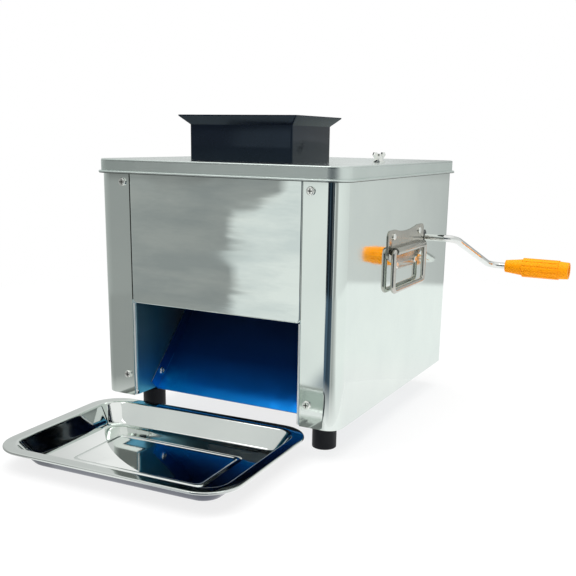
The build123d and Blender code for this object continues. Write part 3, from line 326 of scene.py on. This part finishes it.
def colour_ramp(tree, value, stops):
    """Colours along a value, from pairs of a position and a colour, the first of them at 0."""
    made = add_node(tree, "ShaderNodeValToRGB", {"Fac": value})
    elements = made.color_ramp.elements
    elements.remove(elements[1])
    for number, (position, colour) in enumerate(stops):
        stop = elements.new(position) if number else elements[0]
        stop.color = (*colour, 1)
    return made.outputs["Color"]


def bumps(tree, layers, normal=None):
    """Bump layers, each a height, a strength and a depth, one on top of the other."""
    for height, strength, depth in layers:
        inputs = {"Height": height, "Strength": strength, "Distance": depth}
        if normal is not None:
            inputs["Normal"] = normal
        normal = add_node(tree, "ShaderNodeBump", inputs).outputs["Normal"]
    return normal


# Materials that many parts share


def steel(name, light, dark, roughness, grain, grain_strength, wave_strength, wave_scale=7.0):
    """Rolled sheet: fine grain along one direction, faint smudges, and the slow waves of thin metal."""
    material, tree, shader = new_material(name)
    smudges = noise(tree, smudge_scale, detail=5.0)
    lines = rolled_lines(tree, grain)
    waves = noise(tree, wave_scale, detail=1.0)
    layers = ((waves, wave_strength, wave_depth), (lines, grain_strength, line_depth))
    set_inputs(tree, shader, {
        "Base Color": blend(tree, spread(tree, smudges, 0, 1), light, dark),
        "Roughness": uneven(tree, lines, roughness, sheet_gloss_shares),
        "Metallic": 1.0,
        "Normal": bumps(tree, layers),
    })
    return material


def machined(name, light, dark, roughness, scale=160.0):
    """Turned, plated or cut metal: small tool marks and a little uneven shine."""
    material, tree, shader = new_material(name)
    marks = noise(tree, scale, detail=5.0, roughness=0.7)
    set_inputs(tree, shader, {
        "Base Color": blend(tree, spread(tree, marks, 0, 1), light, dark),
        "Roughness": uneven(tree, marks, roughness, machined_gloss_shares),
        "Metallic": 1.0,
        "Normal": bumps(tree, ((marks, mark_strength, mark_depth),)),
    })
    return material


def moulded(name, light, dark, roughness, texture, scale=900.0, shine=0.5, tint=(1, 1, 1)):
    """Moulded plastic or rubber: a fine skin texture and slightly uneven colour and gloss."""
    material, tree, shader = new_material(name)
    patches = noise(tree, patch_scale, detail=4.0)
    skin = noise(tree, scale, detail=2.0)
    set_inputs(tree, shader, {
        "Base Color": blend(tree, spread(tree, patches, 0, 1), light, dark),
        "Roughness": uneven(tree, patches, roughness, moulded_gloss_shares),
        "Specular IOR Level": shine,
        "Specular Tint": (*tint, 1),
        "Normal": bumps(tree, ((skin, texture, skin_depth),)),
    })
    return material


# Materials of single parts


def lid_sheet():
    """The lid: duller sheet than the casing, with painted shade under its bead, and dullest on its skirt.
    """
    light, dark, dirt_and_shade = (0.73, 0.79, 0.76), (0.64, 0.71, 0.68), (0.03, 0.035, 0.035)
    material, tree, shader = new_material("lid_sheet")
    smudges = noise(tree, smudge_scale, detail=5.0)
    lines = rolled_lines(tree, (3, 3, 0.15))
    dents = noise(tree, dent_scale, stretch=(1, 1, 0.5), detail=1.0)
    height = own_coordinate(tree, "Z")
    # Below the bead the colour turns near black: painted shade under the bead
    clean_and_unshaded = spread(tree, height, 0, 1, start=bead_shade_top - bead_shade_fade, end=bead_shade_top)
    sheet = blend(tree, spread(tree, smudges, 0, 1), light, dark)
    skirt = spread(tree, height, skirt_dullness, 0, start=skirt_top - skirt_fade, end=skirt_top)
    set_inputs(tree, shader, {
        "Base Color": blend(tree, clean_and_unshaded, dirt_and_shade, sheet),
        "Roughness": maths(tree, "ADD", spread(tree, lines, 0.15, 0.2), skirt),
        "Metallic": 1.0,
        "Normal": bumps(tree, ((dents, 0.1, dent_depth), (lines, 0.02, line_depth))),
    })
    return material


def panel_tilt(tree, wiped):
    """Normal of the front panel, tilted by its smears where it is wiped, and by its bent top edge."""
    rows = noise(tree, scale=1.0, stretch=(10, 0, 110))
    smears = spread(tree, rows, -smear_tilt, smear_tilt, start=0.4, end=0.6)
    height = own_coordinate(tree, "Z")
    bend = spread(tree, height, 0, -top_tilt, start=top_bend_start, end=top_bend_end)
    tilt = maths(tree, "MULTIPLY_ADD", smears, wiped, bend)
    sideways = add_node(tree, "ShaderNodeCombineXYZ", {"X": tilt}).outputs["Vector"]
    facing = add_node(tree, "ShaderNodeNewGeometry").outputs["Normal"]
    return vector_maths(tree, "NORMALIZE", vector_maths(tree, "ADD", facing, sideways))


def smeared_steel():
    """Front panel: rolled sheet wiped in level smears, which tilt the reflections from row to row."""
    clean_and_unshaded, dirty = (0.80, 0.86, 0.82), (0.66, 0.73, 0.71)
    material, tree, shader = new_material("smeared_steel")
    smudges = noise(tree, scale=1.0, stretch=(9, 1, 38), detail=4.0, roughness=0.6)
    patches = noise(tree, scale=1.0, stretch=(13, 1, 22), detail=1.0)
    waves = noise(tree, scale=11.0, detail=1.0)
    lines = rolled_lines(tree, (0.06, 3, 3))
    dirt_and_shade = spread(tree, smudges, 0, 1, start=0.38, end=0.62)
    wiped = spread(tree, patches, 0, 1, start=0.45, end=0.6)
    layers = ((waves, 0.2, wave_depth), (lines, 0.04, line_depth))
    set_inputs(tree, shader, {
        "Base Color": blend(tree, dirt_and_shade, clean_and_unshaded, dirty),
        "Roughness": spread(tree, wiped, 0.03, 0.12, start=0, end=1),
        "Metallic": 1.0,
        "Normal": bumps(tree, layers, panel_tilt(tree, wiped)),
    })
    return material


def inner_steel():
    """Matt side plates of the discharge bay: pale, teal, dark and steel inwards as painted highlight,
    reflection and shade, with the chute's blue low down as painted reflection.
    """
    # Each pair is a share of the bay's depth, then the colour there, painted light and shade of the bay
    inwards = (
        (0, (0.80, 0.86, 0.84)),
        (0.025, (0.22, 0.50, 0.60)),
        (0.23, (0.12, 0.40, 0.54)),
        (0.51, (0.16, 0.22, 0.25)),
        (0.78, (0.16, 0.22, 0.25)),
        (1, (0.62, 0.66, 0.64)),
    )
    reflected_chute_blue = (0.015, 0.30, 0.50)
    material, tree, shader = new_material("inner_steel")
    depth = spread(tree, own_coordinate(tree, "Y"), 0, 1, start=bay_front, end=bay_back)
    height = own_coordinate(tree, "Z")
    # Painted reflection of the chute's blue, strongest low down
    low_down = spread(tree, height, bay_reflection_share, 0, start=bay_reflection_full, end=bay_reflection_end)
    lines = rolled_lines(tree, (3, 3, 0.2))
    set_inputs(tree, shader, {
        "Base Color": blend(tree, low_down, colour_ramp(tree, depth, inwards), reflected_chute_blue),
        "Roughness": spread(tree, lines, 0.34, 0.5),
        "Metallic": 0.9,
        "Normal": bumps(tree, ((lines, 0.1, line_depth),)),
    })
    return material


def highlight_corner(tree):
    """How far the chute's film carries a painted highlight: most at the left end of the lip, in crumpled
    patches.
    """
    near_fold = spread(tree, own_coordinate(tree, "X"), 1, 0, start=film_highlight_start, end=film_highlight_end)
    near_lip = spread(tree, own_coordinate(tree, "Z"), 1, 0, start=film_highlight_foot, end=film_highlight_top)
    crumpled = spread(tree, noise(tree, scale=45.0), 0.2, 1, start=0.35, end=0.6)
    return maths(tree, "MULTIPLY", maths(tree, "MULTIPLY", near_fold, near_lip), crumpled)


def blue_film():
    """The chute: bright sheet under a blue film, palest low down as painted reflection, with a painted
    highlight, small bubbles and creases.
    """
    # Each pair is a share of the film's height, then the colour there: the film's blue, paler low down as
    # painted reflection of the floor
    upwards = (
        (0, (0.001, 0.18, 0.55)),
        (0.15, (0.001, 0.12, 0.50)),
        (0.5, (0.006, 0.05, 0.23)),
        (1, (0.012, 0.035, 0.12)),
    )
    bright = (0.001, 0.34, 0.90)
    material, tree, shader = new_material("blue_film")
    rise = spread(tree, own_coordinate(tree, "Z"), 0, 1, start=film_foot, end=film_top)
    bubbles = noise(tree, scale=70.0)
    creases = noise(tree, scale=12.0, stretch=(1, 3, 3), detail=2.0)
    layers = ((creases, 0.25, crease_depth), (bubbles, 0.12, bubble_depth))
    set_inputs(tree, shader, {
        # Painted highlight blended in near the left end of the lip
        "Base Color": blend(tree, highlight_corner(tree), colour_ramp(tree, rise, upwards), bright),
        "Roughness": spread(tree, bubbles, 0.12, 0.26),
        "Metallic": 0.5,
        "Specular Tint": (0.1, 0.4, 1.0, 1),
        "Normal": bumps(tree, layers),
    })
    return material


# Looks of the rolled sheets
sheets = {
    "polished_steel": dict(
        light=(0.77, 0.83, 0.79), dark=(0.72, 0.78, 0.75), roughness=0.06,
        grain=(2, 2, 0.15), grain_strength=0.03, wave_strength=0.07,
    ),
    "satin_steel": dict(
        light=(0.74, 0.78, 0.75), dark=(0.64, 0.68, 0.66), roughness=0.2,
        grain=(0.1, 3, 3), grain_strength=0.1, wave_strength=0.12, wave_scale=9.0,
    ),
    "handle_steel": dict(
        light=(0.50, 0.49, 0.44), dark=(0.40, 0.39, 0.35), roughness=0.22,
        grain=(3, 3, 0.1), grain_strength=0.03, wave_strength=0.05,
    ),
    "tray_steel": dict(
        light=(0.80, 0.83, 0.80), dark=(0.74, 0.77, 0.75), roughness=0.05,
        grain=(1, 1, 1), grain_strength=0.02, wave_strength=0.03,
    ),
    # Tray underside: near-black painted shade and painted dark reflection
    "tray_underside_shade": dict(
        light=(0.16, 0.17, 0.20), dark=(0.10, 0.11, 0.14), roughness=0.12,
        grain=(1, 1, 1), grain_strength=0.02, wave_strength=0.03,
    ),
    "blade_steel": dict(
        light=(0.80, 0.81, 0.82), dark=(0.70, 0.71, 0.73), roughness=0.16,
        grain=(1, 1, 1), grain_strength=0.05, wave_strength=0.0,
    ),
}

# Looks of turned, plated, cast and cut metal
metals = {
    "cut_edge": dict(light=(0.97, 0.99, 0.98), dark=(0.90, 0.93, 0.92), roughness=0.35, scale=90.0),
    "chute_edge": dict(light=(0.30, 0.42, 0.50), dark=(0.18, 0.28, 0.36), roughness=0.3, scale=90.0),
    "bright_chrome": dict(light=(0.62, 0.60, 0.56), dark=(0.50, 0.49, 0.45), roughness=0.09, scale=90.0),
    "rod_chrome": dict(light=(0.86, 0.87, 0.85), dark=(0.74, 0.75, 0.73), roughness=0.08, scale=90.0),
    "zinc_steel": dict(light=(0.97, 0.98, 0.94), dark=(0.86, 0.87, 0.83), roughness=0.14),
    "gear_steel": dict(light=(0.42, 0.43, 0.45), dark=(0.30, 0.31, 0.33), roughness=0.32),
    "bush_bronze": dict(light=(0.62, 0.44, 0.22), dark=(0.48, 0.33, 0.16), roughness=0.35),
    "cast_alloy": dict(light=(0.58, 0.59, 0.60), dark=(0.46, 0.47, 0.48), roughness=0.45, scale=300.0),
}

# Looks of plastic, rubber, paint and dirt
plastics = {
    "black_plastic": dict(
        light=(0.005, 0.008, 0.017), dark=(0.003, 0.005, 0.012), roughness=0.12,
        texture=0.05, shine=0.35, tint=(0.6, 0.82, 1.0),
    ),
    "dark_plastic": dict(
        light=(0.030, 0.030, 0.034), dark=(0.020, 0.020, 0.023), roughness=0.42, texture=0.25,
    ),
    "film_edge": dict(
        light=(0.02, 0.24, 0.60), dark=(0.005, 0.12, 0.40), roughness=0.2, texture=0.1, scale=300.0,
    ),
    # Near black, used as painted shade in the front panel's seams and the screw recesses
    "shade_black": dict(
        light=(0.02, 0.02, 0.018), dark=(0.01, 0.01, 0.009), roughness=0.7, texture=0.2, shine=0.2,
    ),
    "foot_rubber": dict(
        light=(0.005, 0.006, 0.010), dark=(0.003, 0.004, 0.007), roughness=0.5,
        texture=0.35, shine=0.25,
    ),
    "grip_plastic": dict(
        light=(1.0, 0.37, 0.0), dark=(0.97, 0.31, 0.0), roughness=0.45, texture=0.08, shine=0.12,
    ),
    "food_nylon": dict(
        light=(0.86, 0.86, 0.83), dark=(0.76, 0.76, 0.73), roughness=0.45, texture=0.2,
    ),
    "motor_metal": dict(
        light=(0.10, 0.11, 0.13), dark=(0.07, 0.08, 0.09), roughness=0.4, texture=0.3, scale=500.0,
    ),
    "capacitor_plastic": dict(
        light=(0.80, 0.80, 0.77), dark=(0.70, 0.70, 0.67), roughness=0.4, texture=0.15,
    ),
    "switch_green": dict(
        light=(0.02, 0.30, 0.08), dark=(0.015, 0.22, 0.06), roughness=0.25, texture=0.08,
    ),
}

materials = {
    "lid_steel": lid_sheet(),
    "front_steel": smeared_steel(),
    "inner_steel": inner_steel(),
    "blue_sheet": blue_film(),
}
materials |= {name: steel(name, **look) for name, look in sheets.items()}
materials |= {name: machined(name, **look) for name, look in metals.items()}
materials |= {name: moulded(name, **look) for name, look in plastics.items()}

# Nodes that look finer than their slot says
finer_looks = {
    "lid": "lid_steel",
    "front_panel": "front_steel",
    "left_side_plate": "inner_steel",
    "right_side_plate": "inner_steel",
    "left_handle_plate": "handle_steel",
    "right_handle_plate": "handle_steel",
    "crank_rod": "rod_chrome",
}
slot_of = {part["node"]: part["material_slot"] for part in frame["record"]["subparts"]}
for node_name, node in nodes.items():
    for material_slot in node.material_slots:
        material_slot.material = materials[finer_looks.get(node_name, slot_of[node_name])]


# Helpers for meshes and pieces


def rounded_loop(half_x, half_y, radius):
    """Points around a rounded rectangle, always as many, from its +X +Y corner anticlockwise."""
    corners = []
    for quarter, (x, y) in enumerate(((1, 1), (-1, 1), (-1, -1), (1, -1))):
        centre = Vector((x * (half_x - radius), y * (half_y - radius)))
        for step in range(corner_steps + 1):
            turn = pi / 2 * (quarter + step / corner_steps)
            corners.append(centre + radius * Vector((cos(turn), sin(turn))))
    points = []
    for place, point in enumerate(corners):
        points.append(point)
        if (place + 1) % (corner_steps + 1) == 0:
            following = corners[(place + 1) % len(corners)]
            points += [point.lerp(following, step / side_steps) for step in range(1, side_steps)]
    return points


def join_loops(shape, loops):
    """Faces between loops that follow each other."""
    count = len(loops[0])
    for outer, inner in zip(loops, loops[1:]):
        for place in range(count):
            following = (place + 1) % count
            shape.faces.new((outer[place], outer[following], inner[following], inner[place]))


def finished_mesh(shape, name):
    """Mesh of a shape, which is freed."""
    mesh = bpy.data.meshes.new(name)
    shape.to_mesh(mesh)
    shape.free()
    return mesh


def put_in_scene(name, data):
    """Object of a mesh, curve, lamp or camera, linked to the scene."""
    made = bpy.data.objects.new(name, data)
    bpy.context.scene.collection.objects.link(made)
    return made


def add_piece(name, mesh, body, slot, look=None, smooth=True):
    """Put a mesh in the scene with its slot's material or a finer look, and let it ride on a body."""
    piece = put_in_scene(name, mesh)
    mesh.materials.append(materials[look or slot])
    for polygon in mesh.polygons:
        polygon.use_smooth = smooth
    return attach(piece, body)


def thicken(piece, thickness, inner_material=0):
    """Give a surface the thickness of its sheet, inwards."""
    sheet = piece.modifiers.new("sheet", "SOLIDIFY")
    sheet.thickness = thickness
    sheet.offset = -1
    sheet.material_offset = inner_material


# Pieces of this script's own


def pressed_tray():
    """Catch tray: rolled edge, flat rim, walls that flow into the floor, and a raised frame in it."""
    # Each row is how far in from the tray's edge, then how high, in millimetres
    section = (
        (1.4, 21.3), (0.5, 21.2), (0.0, 21.9), (0.0, 22.9), (0.35, 23.65), (1.1, 24.0),
        (3.0, 24.0), (11.3, 23.9), (12.7, 23.6), (13.8, 22.9), (14.8, 21.5), (16.2, 19.3),
        (26.2, 5.2), (27.8, 3.4), (30.2, 2.0), (33.4, 1.15), (37.0, 1.0), (55.5, 1.0),
        (56.7, 1.15), (57.5, 1.95), (58.4, 2.2), (59.9, 2.2), (60.8, 1.95), (61.6, 1.15),
        (62.8, 1.0), (80.0, 1.0),
    )
    rim_width = 13.0
    radius_at_rim = 24.0
    radius_at_floor = 16.0
    radius_at_frame = 7.0
    least_radius = 2.0
    wall_inset = 31.0
    frame_inset = 55.5

    def corner_radius(inset):
        if inset <= rim_width:
            return tray_corner_radius / millimetre - inset
        if inset <= wall_inset:
            share = (inset - rim_width) / (wall_inset - rim_width)
            return radius_at_rim + share * (radius_at_floor - radius_at_rim)
        share = min(1, (inset - wall_inset) / (frame_inset - wall_inset))
        return radius_at_floor + share * (radius_at_frame - radius_at_floor)

    shape = bmesh.new()
    loops = []
    for inset, height in section:
        half_x = tray_length / 2 - inset * millimetre
        half_y = tray_width / 2 - inset * millimetre
        radius = max(corner_radius(inset), least_radius) * millimetre
        points = rounded_loop(half_x, half_y, radius)
        loops.append([shape.verts.new((*point, height * millimetre)) for point in points])
    join_loops(shape, loops)
    shape.faces.new(loops[-1])
    mesh = finished_mesh(shape, "pressed_tray")

    low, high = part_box("tray")
    middle = Vector(((low.x + high.x) / 2, (low.y + high.y) / 2, 0))
    mesh.transform(Matrix.Translation(middle) @ Matrix.Rotation(radians(tray_turn), 4, "Z"))
    piece = add_piece("pressed_tray", mesh, "catch_tray", "tray_steel")
    # The tray's outer side takes the dark underside look: painted shade and dark reflection
    mesh.materials.append(materials["tray_underside_shade"])
    smoother = piece.modifiers.new("smoother", "SUBSURF")
    smoother.levels = 1
    smoother.render_levels = 2
    thicken(piece, tray_sheet, inner_material=1)
    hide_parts("tray")


def front_panel():
    """Front panel whose edges are rolled back, so that it meets the flanges in a dark groove."""
    low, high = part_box("front_panel")
    middle = (low + high) / 2
    half_x = (high.x - low.x) / 2
    half_z = (high.z - low.z) / 2
    rolls = [pi / 2 * step / panel_roll_steps for step in range(panel_roll_steps, -1, -1)]
    rows = [(panel_roll * (1 - sin(turn)), panel_roll * (1 - cos(turn))) for turn in rolls]
    rows.append((2 * panel_roll, 0))
    shape = bmesh.new()
    loops = []
    for inset, depth in rows:
        points = rounded_loop(half_x - inset, half_z - inset, panel_corner_radius - inset)
        loops.append([shape.verts.new((p.x + middle.x, low.y + depth, p.y + middle.z)) for p in points])
    join_loops(shape, loops)
    shape.faces.new(loops[-1])
    mesh = finished_mesh(shape, "rolled_front_panel")
    piece = add_piece("rolled_front_panel", mesh, "frame", "satin_steel", look="front_steel")
    thicken(piece, panel_sheet)
    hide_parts("front_panel")


def soften(name, width):
    """Copy of a node whose sharp edges are rounded, in the node's place."""
    original = nodes[name]
    mesh = original.data.copy()
    shape = bmesh.new()
    shape.from_mesh(mesh)
    bmesh.ops.remove_doubles(shape, verts=shape.verts, dist=weld_distance)
    bmesh.ops.dissolve_limit(
        shape,
        angle_limit=radians(flat_angle),
        verts=shape.verts,
        edges=shape.edges,
        delimit={"NORMAL"},
    )
    shape.to_mesh(mesh)
    shape.free()
    piece = put_in_scene("soft_" + name, mesh)
    for polygon in mesh.polygons:
        polygon.use_smooth = True
    bevel = piece.modifiers.new("round", "BEVEL")
    bevel.width = width
    bevel.segments = soft_segments
    bevel.limit_method = "ANGLE"
    bevel.angle_limit = radians(sharp_angle)
    bevel.harden_normals = True
    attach(piece, original["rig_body"])
    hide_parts(name)


def add_cross(shape, outline, x, y, z, outward):
    """Add one dark cross of painted shade to a shape, at a place and thickened outwards."""
    corners = [shape.verts.new((x + point.x, y, z + point.y)) for point in outline]
    grown = bmesh.ops.extrude_face_region(shape, geom=[shape.faces.new(corners)])
    moved = [v for v in grown["geom"] if isinstance(v, bmesh.types.BMVert)]
    bmesh.ops.translate(shape, verts=moved, vec=(0, outward * recess_fill, 0))


def recess_shade():
    """Dark crosses of painted shade in the cross recesses of the flange screws, which make them read as
    screws.
    """
    left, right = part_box("left_side_shell"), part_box("right_side_shell")
    middle = (left[0].x + right[1].x) / 2
    arm, half = recess_length / 2, recess_width / 2
    outline = []
    for quarter in range(4):
        turn = Matrix.Rotation(pi / 2 * quarter, 2)
        outline += [turn @ Vector(point) for point in ((arm, -half), (arm, half), (half, half))]
    shape = bmesh.new()
    for face_y, outward in ((right[0].y, -1), (right[1].y, 1)):
        for side in (-1, 1):
            for height in screw_heights:
                x = middle + side * screw_across
                add_cross(shape, outline, x, face_y + outward * recess_floor, height, outward)
    bmesh.ops.recalc_face_normals(shape, faces=shape.faces)
    mesh = finished_mesh(shape, "recess_shade")
    # The crosses are near black: painted shade in the recesses
    piece = add_piece("recess_shade", mesh, "frame", "dark_plastic", look="shade_black", smooth=False)
    edge = piece.modifiers.new("round", "BEVEL")
    edge.width = recess_edge
    edge.segments = recess_segments


def trim(name, lines, radius, look):
    """Thin rounded trim along lines of points, each with the share of the radius that it has there."""
    curve = bpy.data.curves.new(name, "CURVE")
    curve.dimensions = "3D"
    curve.bevel_depth = radius
    curve.bevel_resolution = trim_resolution
    curve.use_fill_caps = True
    for points in lines:
        line = curve.splines.new("POLY")
        line.points.add(len(points) - 1)
        for place, (point, share) in zip(line.points, points):
            place.co = (*point, 1)
            place.radius = share
    piece = put_in_scene(name, curve)
    curve.materials.append(materials[look])
    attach(piece, "frame")


def front_trims():
    """Dark strip of painted shade beside the front panel, and the bright hems of the side plates under it.
    """
    low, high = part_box("front_panel")
    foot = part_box("left_side_plate")[0]
    y = low.y + seam_shade_depth
    seam_shades, hems = [], []
    for x, outward in ((low.x, -1), (high.x, 1)):
        # Each side gets a thin dark strip of painted shade in the seam
        seam_shade_x = x + outward * seam_shade_inset
        seam_shades.append((((seam_shade_x, y, low.z + seam_shade_corner), 1), ((seam_shade_x, y, high.z - seam_shade_corner), 1)))
        hem_x = x - outward * hem_inset
        hems.append((((hem_x, foot.y, foot.z + hem_rise), 1), ((hem_x, foot.y, low.z), 1)))
    trim("panel_seam_shade", seam_shades, seam_shade_radius, "shade_black")
    trim("plate_hems", hems, hem_radius, "cut_edge")


def film_trims():
    """Edges of the chute's film: along its lip, its left fold and the rim of its left side."""
    low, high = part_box("chute")
    slope = radians(chute_slope)

    def on_chute(x, along, up):
        return (
            x,
            chute_lip[0] + along * cos(slope) - up * sin(slope),
            chute_lip[1] + along * sin(slope) + up * cos(slope),
        )

    left, right = low.x + chute_sheet, high.x - chute_sheet
    rim_x = low.x + chute_sheet / 2
    rim_end = on_chute(rim_x, chute_length, chute_flange)
    fold = [(on_chute(left, along, 0), share) for along, share in film_fold]
    lip = [(on_chute(left, 0, 0), 1), (on_chute(right, 0, 0), film_lip_end_share)]
    rim = [(on_chute(rim_x, 0, chute_flange), 1), (rim_end, rim_end_share)]
    trim("film_edges", (fold, lip), film_radius, "film_edge")
    trim("chute_rim", (rim,), film_radius, "chute_edge")


pressed_tray()
front_panel()
front_trims()
film_trims()
recess_shade()
for soft_name, soft_width in softened.items():
    soften(soft_name, soft_width)


# Studio, light and camera


def studio_floor():
    """White floor that keeps the object's shadow."""
    bpy.ops.mesh.primitive_plane_add(size=2 * floor_half_size)
    floor = bpy.context.object
    floor.name = "studio_floor"
    material, tree, shader = new_material("studio_floor")
    set_inputs(tree, shader, {
        "Base Color": (floor_white, floor_white, floor_white, 1),
        "Roughness": floor_roughness,
        "Specular IOR Level": 0.0,
    })
    glow = add_node(tree, "ShaderNodeEmission", {"Color": (1, 1, 1, 1), "Strength": 1.0})
    path = add_node(tree, "ShaderNodeLightPath")
    seen = path.outputs["Is Camera Ray"]
    for ray in ("Is Glossy Ray", "Is Transmission Ray"):
        seen = maths(tree, "MAXIMUM", seen, path.outputs[ray])
    reach = vector_maths(tree, "LENGTH", own_place(tree), result="Value")
    own_light = spread(tree, reach, floor_glow, 1, start=shadow_reach, end=2 * shadow_reach)
    share = maths(tree, "MULTIPLY", seen, own_light)
    inputs = {0: share, 1: shader.outputs["BSDF"], 2: glow.outputs["Emission"]}
    surface = add_node(tree, "ShaderNodeMixShader", inputs).outputs["Shader"]
    tree.links.new(surface, tree.nodes["Material Output"].inputs["Surface"])
    floor.data.materials.append(material)


def cloth_colours(tree, around, levels):
    """Colour of a cloth around the studio, from pairs of an angle in degrees and a brightness."""
    stops = []
    for angle, level in levels:
        tint = dark_cloth_tint if level < dark_cloth_level else cloth_tint
        stops.append((angle / full_turn + gradient_on_x, [level * share for share in tint]))
    return colour_ramp(tree, around, stops)


def cloth_material():
    """Glow of the cloths: white near the machine, then each cloth over the one before it."""
    material, tree, shader = new_material("studio_walls")
    tree.nodes.remove(shader)
    inputs = {"Vector": own_place(tree)}
    around = add_node(tree, "ShaderNodeTexGradient", inputs, gradient_type="RADIAL").outputs["Fac"]
    height = own_coordinate(tree, "Z")
    reach = vector_maths(tree, "LENGTH", own_place(tree), result="Value")
    # Each row is what a cloth's start is measured by, then where it starts and where it is full
    starts = {
        "floor": (reach, floor_cloth_radius, floor_cloth_full),
        "low": (height, wall_foot_start, wall_foot_end),
        "high": (height, low_cloth_top, low_cloth_top + cloth_edge),
        "top": (height, high_cloth_top, high_cloth_top + top_cloth_fade),
    }
    colour = (1, 1, 1)
    for name, (measure, start, end) in starts.items():
        share = spread(tree, measure, 0, 1, start=start, end=end)
        colour = blend(tree, share, colour, cloth_colours(tree, around, cloths[name]))
    glow = add_node(tree, "ShaderNodeEmission", {"Color": colour, "Strength": 1.0})
    tree.links.new(glow.outputs["Emission"], tree.nodes["Material Output"].inputs["Surface"])
    return material


def studio_walls():
    """Pale and dark cloths around the machine, on the floor and upright, that only reflections see."""
    shape = bmesh.new()
    turns = [2 * pi * step / wall_steps for step in range(wall_steps)]
    edges = ((floor_cloth_radius, cloth_lift), (wall_radius, cloth_lift), (wall_radius, wall_height))
    rings = []
    for radius, height in edges:
        rings.append([shape.verts.new((radius * cos(t), radius * sin(t), height)) for t in turns])
    join_loops(shape, rings)
    mesh = finished_mesh(shape, "studio_walls")
    mesh.materials.append(cloth_material())
    wall = put_in_scene("studio_walls", mesh)
    wall.visible_camera = False
    wall.visible_diffuse = False
    wall.visible_transmission = False
    wall.visible_shadow = False


def studio_light():
    """Soft lamps and a white surround."""
    world = bpy.data.worlds.new("studio")
    bpy.context.scene.world = world
    world.use_nodes = True
    tree = world.node_tree
    path = add_node(tree, "ShaderNodeLightPath")
    strength = spread(tree, path.outputs["Is Diffuse Ray"], 1.0, world_fill, start=0, end=1)
    set_inputs(tree, tree.nodes["Background"], {"Color": (1, 1, 1, 1), "Strength": strength})
    # Each row is a lamp's name, place, size and power, then whether reflections see it
    lamps = (
        ("overhead", (0.0, -0.1, 2.2), 2.4, 60.0, False),
        ("key", (-0.9, -1.3, 1.9), 1.0, 8.0, True),
    )
    for name, place, size, power, reflected in lamps:
        light = bpy.data.lights.new(name, "AREA")
        light.size = size
        light.energy = power
        lamp = put_in_scene(name, light)
        lamp.location = place
        lamp.rotation_euler = Vector(place).to_track_quat("Z", "Y").to_euler()
        lamp.visible_glossy = reflected


def studio_camera():
    """Camera at the photograph's place, turned by azimuth, elevation and roll."""
    azimuth, elevation, roll = (radians(a) for a in (camera_azimuth, camera_elevation, camera_roll))
    back = Vector((sin(azimuth) * cos(elevation), -cos(azimuth) * cos(elevation), sin(elevation)))
    right = Vector((cos(azimuth), sin(azimuth), 0))
    upright = Matrix((right, back.cross(right), back)).transposed()
    turn = upright @ Matrix.Rotation(roll, 3, "Z")
    data = bpy.data.cameras.new("camera")
    data.lens = camera_lens
    data.shift_x, data.shift_y = camera_shift
    camera = put_in_scene("camera", data)
    camera.matrix_world = Matrix.Translation(camera_place) @ turn.to_4x4()
    bpy.context.scene.camera = camera


studio_floor()
studio_walls()
studio_light()
studio_camera()
bpy.context.scene.view_settings.view_transform = "Standard"
